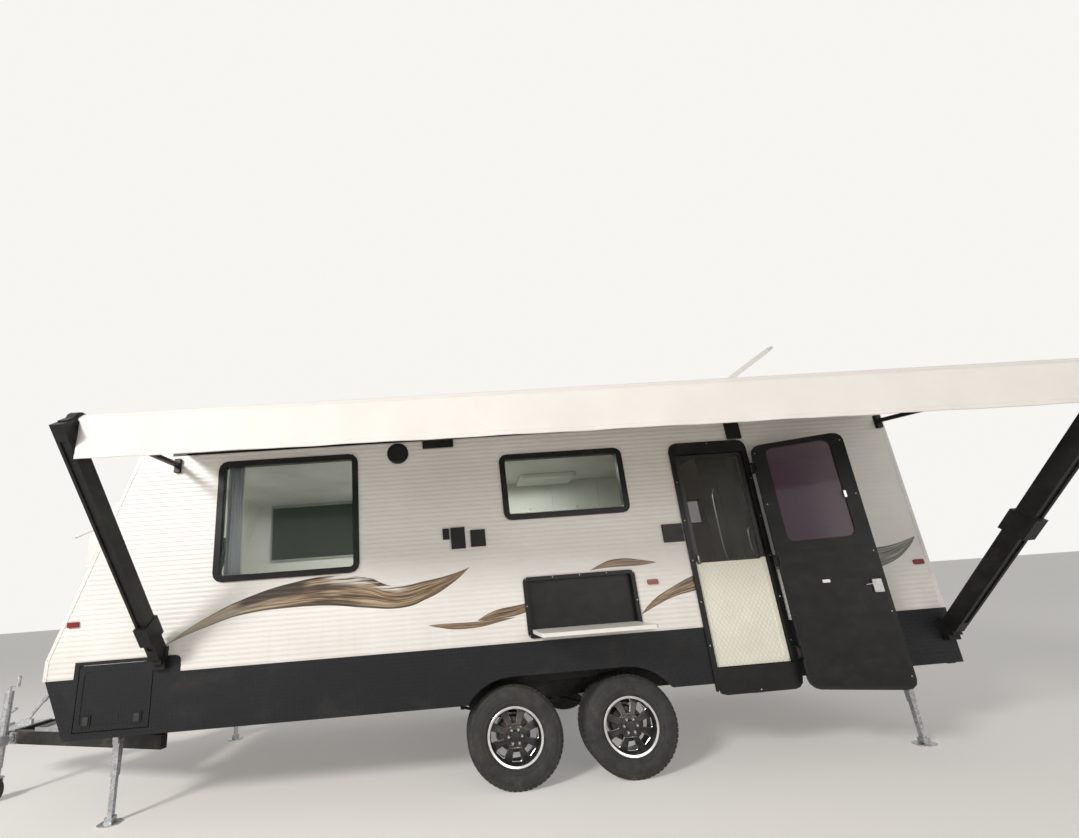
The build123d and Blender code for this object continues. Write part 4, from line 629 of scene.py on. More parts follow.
class Growth(Tree):
    """A tree of Geometry Nodes with named inputs."""

    def __init__(self, name, **sizes):
        group = bpy.data.node_groups.new(name, "GeometryNodeTree")
        super().__init__(group)
        group.interface.new_socket("Geometry", in_out="INPUT", socket_type="NodeSocketGeometry")
        for label, value in sizes.items():
            socket = group.interface.new_socket(label, in_out="INPUT", socket_type=INPUT_KINDS[type(value)])
            socket.default_value = value
        group.interface.new_socket("finish", in_out="INPUT", socket_type="NodeSocketMaterial")
        group.interface.new_socket("Geometry", in_out="OUTPUT", socket_type="NodeSocketGeometry")
        source = group.nodes.new("NodeGroupInput")
        self.given = {socket.name: Signal(self, socket) for socket in source.outputs if socket.name}
        self.seed = self.given["Geometry"]

    def vector(self, x=0.0, y=0.0, z=0.0):
        return self.add("ShaderNodeCombineXYZ", None, [x, y, z])

    def join(self, *parts):
        """Several shapes as one."""
        node = self.tree.nodes.new("GeometryNodeJoinGeometry")
        for part in parts:
            self.tree.links.new(part.socket, node.inputs[0])
        return Signal(self, node.outputs[0])

    def close(self, signal):
        """End the tree: instances become real and the finish is set."""
        solid = self.add("GeometryNodeRealizeInstances", None, [signal])
        finish = {"Geometry": solid, "Material": self.given["finish"]}
        worn = self.add("GeometryNodeSetMaterial", None, finish)
        self.tree.links.new(worn.socket, self.tree.nodes.new("NodeGroupOutput").inputs[0])
        return self


def evaluated_mesh(obj):
    """What an object's modifiers make, as a mesh of its own."""
    graph = bpy.context.evaluated_depsgraph_get()
    return bpy.data.meshes.new_from_object(obj.evaluated_get(graph))


def grown(name, growth, points, lines, finish, body="caravan", placed=None, **sizes):
    """Run a tree on a seed of points and lines, and keep the result as a mesh that rides on a body."""
    seed = bpy.data.meshes.new(name + "_seed")
    seed.from_pydata(points, lines, [])
    holder = new_object(name + "_seed", seed)
    modifier = holder.modifiers.new("growth", "NODES")
    modifier.node_group = growth.tree
    sizes["finish"] = finish
    for socket in growth.tree.interface.items_tree:
        if socket.in_out == "INPUT" and socket.name in sizes:
            modifier[socket.identifier] = sizes[socket.name]
    result = evaluated_mesh(holder)
    bpy.data.objects.remove(holder)
    if placed is not None:
        result.transform(placed)
    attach(new_object(name, result), body)
    print(name, len(result.polygons), "faces")


print("growing tools ready")

# %% [markdown]
# Some pieces fit round the openings of the walls. The frame's nodes hold several solids each, so a small
# helper finds the separate islands of a node's mesh and gives the box of each one.


# %% Boxes of a node's separate solids
GRID = 5000


def solid_boxes(name):
    """Lowest and highest corner of every separate solid of a node, found by points that coincide."""
    mesh = nodes[name].data
    spots = [tuple(round(c * GRID) for c in v.co) for v in mesh.vertices]
    parent = {spot: spot for spot in spots}

    def root(spot):
        while parent[spot] != spot:
            parent[spot] = parent[parent[spot]]
            spot = parent[spot]
        return spot

    for face in mesh.polygons:
        first = root(spots[face.vertices[0]])
        for index in face.vertices[1:]:
            parent[root(spots[index])] = first
    groups = {}
    for vertex, spot in zip(mesh.vertices, spots):
        groups.setdefault(root(spot), []).append(vertex.co)
    return [tuple([end(p[k] for p in points) for k in range(3)] for end in (min, max))
            for points in groups.values()]


WINDOW_BOXES = solid_boxes("window_frames")
print("windows:", len(WINDOW_BOXES))

# %% [markdown]
# The cladding is aluminium sheet rolled with soft horizontal beads, one every 35 mm and 1.8 mm proud.
# Each bead is a line along the wall, broken where a window, the door or the boot plate interrupts the
# sheet. The tree turns lines into curves and sweeps a flat ellipse along them, half of it sunk in the
# wall. The same paint goes on the beads, so the stripes run over them unbroken.

# %% Ribs of the cladding
RIB_PITCH = 35
RIB_START = 1000
RIB_TOP = WALL_TOP - 40
SHORTEST_RIB = 0.02
UNDER_FLANGE = 0.012
BOOT_PLATE = (211, 939, 900, 1084)


def rib_growth():
    """A flat ellipse swept along every line."""
    g = Growth("cladding_ribs", width=0.022, proud=0.0018, tilt=0.0)
    path = g.add("GeometryNodeMeshToCurve", None, [g.seed])
    tilted = g.add("GeometryNodeSetCurveTilt", None, {"Curve": path, "Tilt": g.given["tilt"]})
    ring = g.add("GeometryNodeCurvePrimitiveCircle", None, {"Resolution": 14, "Radius": 1.0})
    flat = g.vector(g.given["proud"], g.given["width"] * 0.5, 1.0)
    profile = g.add("GeometryNodeTransform", None, {"Geometry": ring, "Scale": flat})
    return g.close(g.add("GeometryNodeCurveToMesh", None,
                         {"Curve": tilted, "Profile Curve": profile, "Fill Caps": True}))


def free_stretches(start, end, gaps):
    """What is left of a line when the gaps are taken out of it."""
    stretches = [(start, end)]
    for low, high in gaps:
        cut = []
        for a, b in stretches:
            if high <= a or low >= b:
                cut.append((a, b))
                continue
            cut += [(s, e) for s, e in ((a, low), (high, b)) if e - s > SHORTEST_RIB]
        stretches = cut
    return stretches


def opening_list(side):
    """Boxes in X and Z that the cladding of a side wall leaves out."""
    boxes = [b for b in WINDOW_BOXES if b[0][1] * side > WALL_Y - 0.1]
    if side == NEAR:
        boxes += [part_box("door_frame"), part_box("table_frame")]
    holes = [(low[0] + UNDER_FLANGE, high[0] - UNDER_FLANGE, low[2] + UNDER_FLANGE, high[2] - UNDER_FLANGE)
             for low, high in boxes]
    x0, x1, z0, z1 = BOOT_PLATE
    return holes + [(back(x0), back(x1), up(z0), up(z1))]


def chains(runs):
    """Points and lines of several open lines."""
    points, lines = [], []
    for run in runs:
        lines += [(len(points) + i, len(points) + i + 1) for i in range(len(run) - 1)]
        points += [tuple(p) for p in run]
    return points, lines


def side_ribs(side):
    """The lines of one side wall's ribs."""
    runs = []
    holes = opening_list(side)
    for height in range(RIB_START, RIB_TOP, RIB_PITCH):
        z = up(height)
        gaps = [(x0, x1) for x0, x1, z0, z1 in holes if z0 < z < z1]
        for a, b in free_stretches(back(rake_at(height) + 20), BODY_REAR - 0.02, gaps):
            runs.append([(a, side * WALL_Y, z), (b, side * WALL_Y, z)])
    return runs


SIDES = ((NEAR, "door_side"), (OFF, "off_side"))
RIBS = rib_growth()
CLADDING = finish_of("wall_door_side")
for side, hand in SIDES:
    grown("ribs_" + hand, RIBS, *chains(side_ribs(side)), CLADDING)

# %% [markdown]
# The front and rear walls carry the same beads across the body. On the raked part of the front the sweep
# needs to be turned with the wall, which is what the tree's tilt input is for.

# %% Ribs of the ends
END_REACH = WALL_Y - 0.01
FRONT_BOXES = [b for b in WINDOW_BOXES if b[0][0] < back(600)]


def front_ribs():
    """The lines across the raked front, broken at its window."""
    runs = []
    low, high = FRONT_BOXES[0]
    height = RAKE_FOOT + 20
    while height < WALL_TOP - 60:
        x, z = back(rake_at(height)), up(height)
        beside = low[2] + 0.01 < z < high[2] - 0.02
        gaps = [(low[1] + UNDER_FLANGE, high[1] - UNDER_FLANGE)] if beside else []
        runs += [[(x, a, z), (x, b, z)] for a, b in free_stretches(-END_REACH, END_REACH, gaps)]
        height += RIB_PITCH * math.cos(RAKE)
    return runs


def level_ribs(x, top):
    """Lines straight across one end, up to a height."""
    heights = range(RIB_START, top, RIB_PITCH)
    return [[(x, -END_REACH, up(height)), (x, END_REACH, up(height))] for height in heights]


grown("ribs_front", RIBS, *chains(front_ribs()), CLADDING, tilt=RAKE)
grown("ribs_nose", RIBS, *chains(level_ribs(BODY_FRONT, RAKE_FOOT - 10)), CLADDING)
grown("ribs_rear", RIBS, *chains(level_ribs(BODY_REAR, RIB_TOP)), CLADDING)

# %% [markdown]
# Turned pieces such as tyres and wheels come from one helper that spins a section round an axis. A
# section is a list of (radius, distance along the axis) in millimetres, and a closed one gives a ring
# without ends.


# %% Turning on a lathe
def turned(section, sides, closed=True):
    """Points and faces of a section turned round Z, in metres."""
    points, faces = [], []
    count = len(section)
    for k in range(sides):
        angle = FULL_TURN * k / sides
        for radius, along in section:
            reach = radius / 1000
            points.append((reach * math.cos(angle), reach * math.sin(angle), along / 1000))
    for k in range(sides):
        this, that = k * count, (k + 1) % sides * count
        for i in range(count if closed else count - 1):
            j = (i + 1) % count
            faces.append((this + i, that + i, that + j, this + j))
    return points, faces


def mesh_piece(name, points, faces, finish, body="caravan", smooth=45, placed=None):
    """A mesh put in its place, with faces outwards and smooth shading up to an angle."""
    mesh = bpy.data.meshes.new(name)
    mesh.from_pydata([tuple(p) for p in points], [], faces)
    if placed is not None:
        mesh.transform(placed)
    work = bmesh.new()
    work.from_mesh(mesh)
    bmesh.ops.remove_doubles(work, verts=work.verts, dist=0.00002)
    bmesh.ops.recalc_face_normals(work, faces=work.faces)
    work.to_mesh(mesh)
    work.free()
    mesh.shade_smooth()
    mesh.set_sharp_from_angle(angle=math.radians(smooth))
    piece = new_object(name, mesh)
    wear(piece, finish)
    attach(piece, body)
    return piece


def mirrored(half):
    """A section completed by its mirror image across the middle plane."""
    return half + [(radius, -along) for radius, along in reversed(half)]


print("lathe ready")

# %% [markdown]
# The tyres are 680 mm across and 215 wide. A plain ring carries them in the solids. Here each one gets
# its bulging wall with the moulded lines near the bead and the shoulder, and a tread of staggered blocks.
# The blocks are instances of one small cube on points round the tread, laid in four rows by the tree.

# %% Tyres
TREAD_COUNT = 58
TREAD_ROWS = (-0.0605, -0.0205, 0.0205, 0.0605)
TYRE_SECTION = [(195.5, 82), (204, 86), (209, 93), (213, 93), (217, 99), (232, 104), (236, 102.5),
                (240, 105.5), (262, 107.2), (282, 105.5), (300, 101), (304, 98.5), (308, 99.5), (322, 93),
                (331, 88), (336.5, 80), (339, 60), (339.5, 30), (339.8, 4)]
RUBBER = finish_of("tyre_front_door")


def ring_points(g):
    """Points round a circle whose radius and count are the tree's inputs."""
    ring = g.add("GeometryNodeCurvePrimitiveCircle", None,
                 {"Resolution": g.given["count"], "Radius": g.given["radius"]})
    return g.add("GeometryNodeCurveToPoints", {"mode": "EVALUATED"}, [ring])


def tread_growth():
    """Rows of blocks round the tread, each turned outwards, and every second row half a pitch on."""
    g = Growth("tread_blocks", radius=0.3395, count=TREAD_COUNT, block=(0.01, 0.03, 0.033))
    points = ring_points(g)
    outwards = g.add("GeometryNodeInputPosition")
    turn = g.add("FunctionNodeAlignRotationToVector", {"axis": "X"}, {"Vector": outwards})
    block = g.add("GeometryNodeMeshCube", None, {"Size": g.given["block"]})
    blocks = g.add("GeometryNodeInstanceOnPoints", None,
                   {"Points": points, "Instance": block, "Rotation": turn})
    rows = [g.add("GeometryNodeTransform", None,
                  {"Geometry": blocks, "Translation": (0, 0, offset),
                   "Rotation": (0, 0, math.pi / TREAD_COUNT * (row % 2))})
            for row, offset in enumerate(TREAD_ROWS)]
    return g.close(g.join(*rows))


def wheel_place(node):
    """The turn and place that carry a wheel drawn on Z, face up, onto its stub with its face outwards."""
    low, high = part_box(node)
    middle = [(a + b) / 2 for a, b in zip(low, high)]
    side = 1 if middle[1] > 0 else -1
    return Matrix.Translation(middle) @ Matrix.Rotation(-side * math.pi / 2, 4, "X")


SEED_POINT = ([(0, 0, 0)], [])
TREAD = tread_growth()
for corner in CORNERS:
    node, body = "tyre_" + corner, "wheel_" + corner
    placed = wheel_place(node)
    wall = turned(mirrored(TYRE_SECTION), 96)
    carcass = mesh_piece("tyre_wall_" + corner, *wall, RUBBER, body, placed=placed)
    grown("tyre_tread_" + corner, TREAD, *SEED_POINT, RUBBER, body, placed)
    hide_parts(node)

# %% [markdown]
# The wheels are black alloys with eight windows. Only the cut edges of the windows and the lip are bright
# metal, which is what catches the light in the photograph. The face starts as a flat filled curve with
# holes, because such a curve gives every window its bevelled edge for free, and the mesh is then dished.
# Barrel, hub and drum are turned.

# %% A wheel's shapes
SPOKE_WINDOWS = 8
SPOKE_WINDOW = [(84, -15), (168, -37), (168, 37), (84, 15)]
FACE_RADIUS, FACE_HOLE = 182.5, 58
FACE_THICK, FACE_BEVEL = 14, 3.5
FACE_TOP, FACE_FALL, FACE_FLAT = 52, 0.204, 74
NUT_HEIGHT = 0.0665
CORNER_STEPS = 5
BARREL_SECTION = [(195, -78), (195, 78), (201, 86), (201, 89.5), (198, 91), (190, 89), (184.5, 87),
                  (181, 82), (181, -82), (184.5, -87), (190, -89), (198, -91), (201, -89.5), (201, -86)]
HUB_SECTION = [(0, 6), (62, 6), (62, 56), (60, 59.5), (56, 61), (37, 61), (35, 63), (34, 66), (34, 73),
               (31, 76.5), (22, 78), (0, 78.5)]
DRUM_SECTION = [(26, -54), (112, -54), (118, -48), (118, -10), (115, -8), (115, 2), (118, 4), (118, 8),
                (112, 12), (26, 12)]
MACHINED = drifting("machined_alloy", (0.62, 0.62, 0.61), (0.8, 0.8, 0.79), 30, (0.18, 0.32), metallic=1.0)
WHEEL_BLACK = finish_of("rim_front_door")
DRUM_IRON = drifting("drum_iron", (0.07, 0.045, 0.035), (0.17, 0.13, 0.11), 25, (0.6, 0.8), metallic=0.6)


def round_corners(corners, radius):
    """A closed flat outline whose corners are rounded."""
    outline = []
    for k, corner in enumerate(corners):
        here = Vector(corner)
        before = (Vector(corners[k - 1]) - here).normalized()
        after = (Vector(corners[(k + 1) % len(corners)]) - here).normalized()
        half = before.angle(after) / 2
        middle = here + (before + after).normalized() * (radius / math.sin(half))
        start, end = (here + way * (radius / math.tan(half)) for way in (before, after))
        for i in range(CORNER_STEPS + 1):
            outline.append(middle + (start.lerp(end, i / CORNER_STEPS) - middle).normalized() * radius)
    return outline


def circle_outline(radius, sides):
    angles = [FULL_TURN * k / sides for k in range(sides)]
    return [Vector((radius * math.cos(a), radius * math.sin(a))) for a in angles]


def curve_shape(curve):
    """Points and faces of the mesh that a curve makes."""
    holder = bpy.data.objects.new(curve.name, curve)
    mesh = bpy.data.meshes.new_from_object(holder)
    bpy.data.objects.remove(holder)
    return [v.co.copy() for v in mesh.vertices], [tuple(face.vertices) for face in mesh.polygons]


def filled_outlines(outlines, thick, bevel):
    """A flat plate with holes, given in millimetres, with bevelled edges and its top at the height 0."""
    curve = bpy.data.curves.new("plate", "CURVE")
    curve.dimensions = "2D"
    curve.fill_mode = "BOTH"
    curve.extrude = (thick / 2 - bevel) / 1000
    curve.bevel_depth = bevel / 1000
    curve.bevel_resolution = 0
    curve.offset = -bevel / 1000
    for outline in outlines:
        spline = curve.splines.new("POLY")
        spline.points.add(len(outline) - 1)
        for point, spot in zip(spline.points, outline):
            point.co = (spot.x / 1000, spot.y / 1000, 0, 1)
        spline.use_cyclic_u = True
    points, faces = curve_shape(curve)
    return [spot - Vector((0, 0, thick / 2000)) for spot in points], faces


def wheel_face():
    """Points and faces of the dished face."""
    outlines = [circle_outline(FACE_RADIUS, 96), circle_outline(FACE_HOLE, 48)]
    for k in range(SPOKE_WINDOWS):
        turn = Matrix.Rotation(FULL_TURN * k / SPOKE_WINDOWS, 2)
        outlines.append([turn @ spot for spot in round_corners(SPOKE_WINDOW, 9)])
    points, faces = filled_outlines(outlines, FACE_THICK, FACE_BEVEL)
    for spot in points:
        reach = math.hypot(spot.x, spot.y) * 1000
        spot.z += (FACE_TOP - (reach - FACE_FLAT) * FACE_FALL) / 1000
    return points, faces


def refinish(piece, finish, chosen, placed):
    """Give some faces of a piece a second finish, chosen by their middle and normal before it was placed."""
    piece.data.materials.append(finish)
    home = placed.inverted()
    for face in piece.data.polygons:
        if chosen(home @ face.center, home.to_3x3() @ face.normal):
            face.material_index = 1


def nut_growth():
    """Six-sided nuts with a domed cap, on a ring."""
    g = Growth("wheel_nuts", count=6, radius=0.048, across=0.0105, tall=0.011)
    points = ring_points(g)
    across, tall = g.given["across"], g.given["tall"]
    body = g.add("GeometryNodeMeshCylinder", None, {"Vertices": 6, "Radius": across, "Depth": tall})
    radii = {"Radius Top": across * 0.45, "Radius Bottom": across * 0.82}
    dome = g.add("GeometryNodeMeshCone", None, {"Vertices": 12, "Depth": tall * 0.5, **radii})
    cap = g.add("GeometryNodeTransform", None, {"Geometry": dome, "Translation": g.vector(z=tall * 0.5)})
    nut = {"Points": points, "Instance": g.join(body, cap)}
    return g.close(g.add("GeometryNodeInstanceOnPoints", None, nut))


print("a wheel's shapes ready")


# %% Four wheels
def cut_edge(middle, way):
    """The bevelled edges of the face's windows."""
    return 0.3 < way.z < 0.95 and middle.xy.length < 0.178


def outer_lip(middle, way):
    """The ring of the barrel that shows from outside."""
    return middle.z > 0.0865 and way.z > 0.3


NUTS = nut_growth()
for corner in CORNERS:
    body, placed = "wheel_" + corner, wheel_place("tyre_" + corner)
    face = mesh_piece("wheel_face_" + corner, *wheel_face(), WHEEL_BLACK, body, 25, placed)
    refinish(face, MACHINED, cut_edge, placed)
    barrel = mesh_piece("wheel_barrel_" + corner, *turned(BARREL_SECTION, 96), WHEEL_BLACK, body, 35, placed)
    refinish(barrel, MACHINED, outer_lip, placed)
    mesh_piece("wheel_hub_" + corner, *turned(HUB_SECTION, 48, False), WHEEL_BLACK, body, 35, placed)
    mesh_piece("brake_drum_" + corner, *turned(DRUM_SECTION, 48), DRUM_IRON, body, 35, placed)
    lifted = placed @ Matrix.Translation((0, 0, NUT_HEIGHT))
    grown("wheel_nuts_" + corner, NUTS, *SEED_POINT, MACHINED, body, lifted)
    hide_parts("rim_" + corner)
print("wheels dressed")

# %% [markdown]
# The awning is one sheet. It leaves the rail on the wall, falls a little towards the roller, lies over
# its top and is wound round it one and a third times. Between rail and roller it sags by about a
# centimetre. The valance hangs from the roller's outer side in slow waves that grow towards its hem. Both
# are drawn as grids whose points follow a rule, and Solidify gives them the thickness of coated cloth.

# %% Awning cloth
RAIL_OUT, RAIL_HEIGHT = 5, 2600
ROLLER_ENDS = ((806, 1000, 2470), (6600, 1300, 2325))
ROLLER_CLOTH = 0.047
CANOPY_INSET = 0.05
CANOPY_SAG = 0.011
WOUND_TURNS = 1.3
CLOTH_THICK = 0.0008
VALANCE_DROP, VALANCE_TOP = 0.235, 0.014
HEM_TALL = 0.024
CANVAS = finish_of("awning_canopy")


def roller_point(share):
    """A place on the roller's middle line, by its share of the way from the front end."""
    left, right = (Vector((back(a), inward(NEAR, -out), up(height))) for a, out, height in ROLLER_ENDS)
    inset = CANOPY_INSET / (right - left).length
    return left.lerp(right, inset + (1 - 2 * inset) * share)


def canopy_point(share, t):
    """A point of the canopy: t runs 0 to 1 from rail to roller, and on from there round the roller."""
    roller = roller_point(share)
    rail = Vector((roller.x, inward(NEAR, -RAIL_OUT), up(RAIL_HEIGHT) + 0.002))
    lean = math.atan2(rail.z - roller.z - ROLLER_CLOTH, rail.y - roller.y)
    turn = lean + max(0, t - 1) * FULL_TURN * WOUND_TURNS
    radius = ROLLER_CLOTH - 0.003 * max(0, t - 1)
    spot = roller + Vector((0, -radius * math.sin(turn), radius * math.cos(turn)))
    if t >= 1:
        return spot
    ends = min(1, 14 * share, 14 * (1 - share))
    dip = 4 * t * (1 - t) * (CANOPY_SAG * ends + 0.0012 * math.sin(share * 81))
    return rail.lerp(spot, t) - Vector((0, 0, dip))


def valance_point(share, t):
    """A point of the valance: t runs 0 to 1 from the roller down to the hem."""
    roller = roller_point(share)
    wave = 0.0045 * math.sin(share * 47 + 0.6) + 0.0025 * math.sin(share * 119 + 2)
    out = ROLLER_CLOTH + 0.003 + wave * t ** 1.4
    return roller + Vector((0, -out, VALANCE_TOP - (VALANCE_DROP + VALANCE_TOP) * t))


def hem_point(share, t):
    """A point of the hem: t runs 0 to 1 from the valance's lower edge up to the seam."""
    return valance_point(share, 1 - t * HEM_TALL / VALANCE_DROP)


def sheet_mesh(name, place_of, columns, stations, finish, thick=CLOTH_THICK):
    """A cloth drawn as a grid of points, with its thickness."""
    points = [place_of(k / columns, t) for k in range(columns + 1) for t in stations]
    count = len(stations)
    faces = [(k * count + i, k * count + i + 1, (k + 1) * count + i + 1, (k + 1) * count + i)
             for k in range(columns) for i in range(count - 1)]
    mesh = bpy.data.meshes.new(name)
    mesh.from_pydata([tuple(p) for p in points], [], faces)
    mesh.shade_smooth()
    piece = new_object(name, mesh)
    wear(piece, finish)
    shell = piece.modifiers.new("cloth_thickness", "SOLIDIFY")
    shell.thickness = thick
    shell.offset = 0
    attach(piece, "caravan")
    return piece


def cloth_area(piece):
    return sum(face.area for face in piece.data.polygons)


def steps(count):
    """Evenly spaced shares from 0 to 1."""
    return [i / count for i in range(count + 1)]


ALONG_CLOTH = steps(12)[:-1] + [1 + t for t in steps(36)]
canopy = sheet_mesh("awning_sheet", canopy_point, 64, ALONG_CLOTH, CANVAS)
cloth_wide = (roller_point(1) - roller_point(0)).length
cloth_long = (canopy_point(1, 1) - canopy_point(1, 0)).length + WOUND_TURNS * FULL_TURN * ROLLER_CLOTH
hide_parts("awning_canopy")
valance = sheet_mesh("awning_valance_cloth", valance_point, 220, steps(12), CANVAS)
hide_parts("awning_valance")
hem = sheet_mesh("awning_hem", hem_point, 220, [0, 0.25, 0.75, 1], CANVAS, 0.003)
print("awning cloth", round(cloth_area(canopy), 2), "square metres")

# %% [markdown]
# Under the wound cloth lies an aluminium tube with a groove for each edge of the cloth, and the tube's
# ends run into the arms' caps.

# %% Roller tube
TUBE_SIDES, TUBE_GROOVES = 72, 3
TUBE_RADIUS, GROOVE_DEEP = 42.5, 5
ARM_CAP = 0.0275


def tube_section():
    """The roller's section in metres: a circle with narrow grooves."""
    outline = []
    for k in range(TUBE_SIDES):
        in_groove = k % (TUBE_SIDES // TUBE_GROOVES) in (0, 1)
        reach = (TUBE_RADIUS - (GROOVE_DEEP if in_groove else 0)) / 1000
        angle = FULL_TURN * k / TUBE_SIDES
        outline.append((math.cos(angle) * reach, math.sin(angle) * reach))
    return outline


def swept_between(start, end, outline):
    """Points and faces of a flat outline carried from one place to another, with closed ends."""
    turn = (end - start).to_track_quat("Z", "Y").to_matrix()
    points = [place + turn @ Vector((x, y, 0)) for place in (start, end) for x, y in outline]
    count = len(outline)
    faces = [(i, (i + 1) % count, count + (i + 1) % count, count + i) for i in range(count)]
    return points, faces + [tuple(range(count)), tuple(range(count, 2 * count))]


ALUMINIUM = drifting("mill_aluminium", (0.5, 0.5, 0.5), (0.66, 0.66, 0.65), 14, (0.3, 0.45), metallic=1.0)
roller_start, roller_end = roller_point(0), roller_point(1)
into_cap = (roller_end - roller_start).normalized() * (CANOPY_INSET - ARM_CAP)
tube_shape = swept_between(roller_start - into_cap, roller_end + into_cap, tube_section())
tube = mesh_piece("awning_roller_tube", *tube_shape, ALUMINIUM, smooth=20)
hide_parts("awning_roller")
print("roller tube", round(cloth_wide + 2 * into_cap.length, 3), "m long")

# %% [markdown]
# Screws hold the mouldings, the door frame and the table's frame. Each is a low dome of a few faces. A
# tree walks along a line, sets a point every so many millimetres and puts a dome there, turned to face
# out of its wall.

# %% Screw heads
def screw_growth():
    """A dome every so far along each line."""
    g = Growth("screw_heads", spacing=0.15, head=0.0045, proud=0.0017, facing=(0.0, -1.0, 0.0))
    path = g.add("GeometryNodeMeshToCurve", None, [g.seed])
    along = {"Curve": path, "Length": g.given["spacing"]}
    points = g.add("GeometryNodeCurveToPoints", {"mode": "LENGTH"}, along)
    turn = g.add("FunctionNodeAlignRotationToVector", {"axis": "Z"}, {"Vector": g.given["facing"]})
    ball = g.add("GeometryNodeMeshUVSphere", None, {"Segments": 8, "Rings": 4, "Radius": 1.0})
    size = g.vector(g.given["head"], g.given["head"], g.given["proud"])
    return g.close(g.add("GeometryNodeInstanceOnPoints", None,
                         {"Points": points, "Instance": ball, "Rotation": turn, "Scale": size}))


SCREWS = screw_growth()
SCREW_STEEL = drifting("screw_steel", (0.4, 0.4, 0.4), (0.6, 0.6, 0.59), 60, (0.25, 0.4), metallic=1.0)
MOULDING_MIDDLE, MOULDING_PROUD, MOULDING_FOOT = 13, 4, 1000
DOOR_FRAME_TAIL, DOOR_FRAME_TOP, DOOR_FRAME_PROUD = 5403, 2422, 16


def screwed(name, runs, facing, spacing, body="caravan"):
    grown(name, SCREWS, *chains(runs), SCREW_STEEL, body, facing=facing, spacing=spacing)


def side_runs(side):
    """Lines of screws along the mouldings of one side."""
    y = inward(side, -MOULDING_PROUD)
    top, tail = WALL_TOP - MOULDING_MIDDLE, back(BODY_LENGTH - MOULDING_MIDDLE)
    heights = (MOULDING_FOOT, RAKE_FOOT, top)
    rake = [(back(rake_at(height) + MOULDING_MIDDLE), y, up(height)) for height in heights]
    rear = [(tail, y, up(MOULDING_FOOT)), (tail, y, up(top - 40))]
    return [rake, [rake[-1], (tail, y, up(top))], rear]


def loop_inside(low, high, inset, y):
    """A line of screws round a frame, so far inside its edge, that stops just short of its start."""
    x0, x1, z0, z1 = low[0] + inset, high[0] - inset, low[2] + inset, high[2] - inset
    return [(x0, y, z0), (x1, y, z0), (x1, y, z1), (x0, y, z1), (x0, y, z0 + 0.01)]


for side, hand in SIDES:
    screwed("moulding_screws_" + hand, side_runs(side), (0, side, 0), 0.12)
door_corner = (back(DOOR_FRAME_TAIL), 0, up(DOOR_FRAME_TOP))
door_loop = loop_inside(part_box("door_frame")[0], door_corner, 0.018, inward(NEAR, -DOOR_FRAME_PROUD))
screwed("door_frame_screws", [door_loop], (0, -1, 0), 0.3)
table_low, table_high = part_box("table_frame")
screwed("table_frame_screws", [loop_inside(table_low, table_high, 0.012, table_low[1])], (0, -1, 0), 0.2)
print("screws set")

# %% [markdown]
# Plates turn up everywhere on a caravan: latches, catches, cover plates, cupboard doors. One helper cuts
# a plate with rounded corners from a filled curve and lays it on a face, and a matrix per face says where
# its front points.

# %% Plates
CHROME = drifting("chrome", (0.7, 0.7, 0.7), (0.85, 0.85, 0.84), 12, (0.08, 0.18), metallic=1.0)
HANDLE_BLACK = drifting("handle_black", (0.015, 0.015, 0.016), (0.03, 0.03, 0.03), 20, (0.3, 0.4))


def face_matrix(across, upright, spot):
    """A matrix whose flat side runs along two directions and starts at a place."""
    across, upright = Vector(across), Vector(upright)
    return Matrix.Translation(spot) @ Matrix((across, upright, across.cross(upright))).transposed().to_4x4()


def on_wall(side, along, height, depth):
    """A place beside a side wall, drawn as seen from the door side."""
    return face_matrix((1, 0, 0), (0, 0, 1), (back(along), inward(side, depth), up(height)))


def rectangle(x, y, wide, tall, radius):
    """A rectangle with rounded corners about a place."""
    a, b = wide / 2, tall / 2
    return round_corners([(x - a, y - b), (x + a, y - b), (x + a, y + b), (x - a, y + b)], radius)


def plate(name, wide, tall, thick, finish, placed, radius=6, bevel=1.0, body="caravan", holes=()):
    """A plate with rounded corners whose foot lies on its face. Sizes are in millimetres."""
    outlines = [rectangle(0, 0, wide, tall, radius)] + [rectangle(*hole) for hole in holes]
    points, faces = filled_outlines(outlines, thick, bevel)
    points = [spot + Vector((0, 0, thick / 1000)) for spot in points]
    return mesh_piece(name, points, faces, finish, body, 25, placed)


def bent_bar(name, spots, radius, finish, placed, body="caravan"):
    """A round bar bent through a few places given in millimetres, with rounded ends."""
    curve = bpy.data.curves.new(name, "CURVE")
    curve.dimensions = "3D"
    curve.bevel_depth = radius / 1000
    curve.bevel_resolution = 3
    curve.resolution_u = 8
    curve.use_fill_caps = True
    spline = curve.splines.new("NURBS")
    spline.points.add(len(spots) - 1)
    for point, spot in zip(spline.points, spots):
        point.co = (*(c / 1000 for c in spot), 1)
    spline.order_u = 3
    spline.use_endpoint_u = True
    return mesh_piece(name, *curve_shape(curve), finish, body, 40, placed)


print("plates and bars ready")

# %% [markdown]
# The entry door stands open by 155 degrees, so the photograph shows its inner face. Its fittings are
# drawn on the closed leaf and turned about the hinge with it: the chrome latch with its lever, the catch
# that holds the leaf to the wall, and one small white cover plate.

# %% Door fittings
LEAF_SWING = math.radians(155)
LEAF_HINGE = Matrix.Translation((back(5392), inward(NEAR, -52), 0))
LEAF_OPEN = LEAF_HINGE @ Matrix.Rotation(LEAF_SWING, 4, "Z") @ LEAF_HINGE.inverted()
LEAF_INNER = -22


def on_leaf(along, height, depth=LEAF_INNER):
    """A place on the inner face of the leaf, drawn closed and then opened."""
    spot = (back(along), inward(NEAR, depth), up(height))
    return LEAF_OPEN @ face_matrix((-1, 0, 0), (0, 0, 1), spot)


def leaf_line(along, low, high):
    """An upright line on the opened leaf."""
    return [on_leaf(along, height).translation for height in (low, high)]


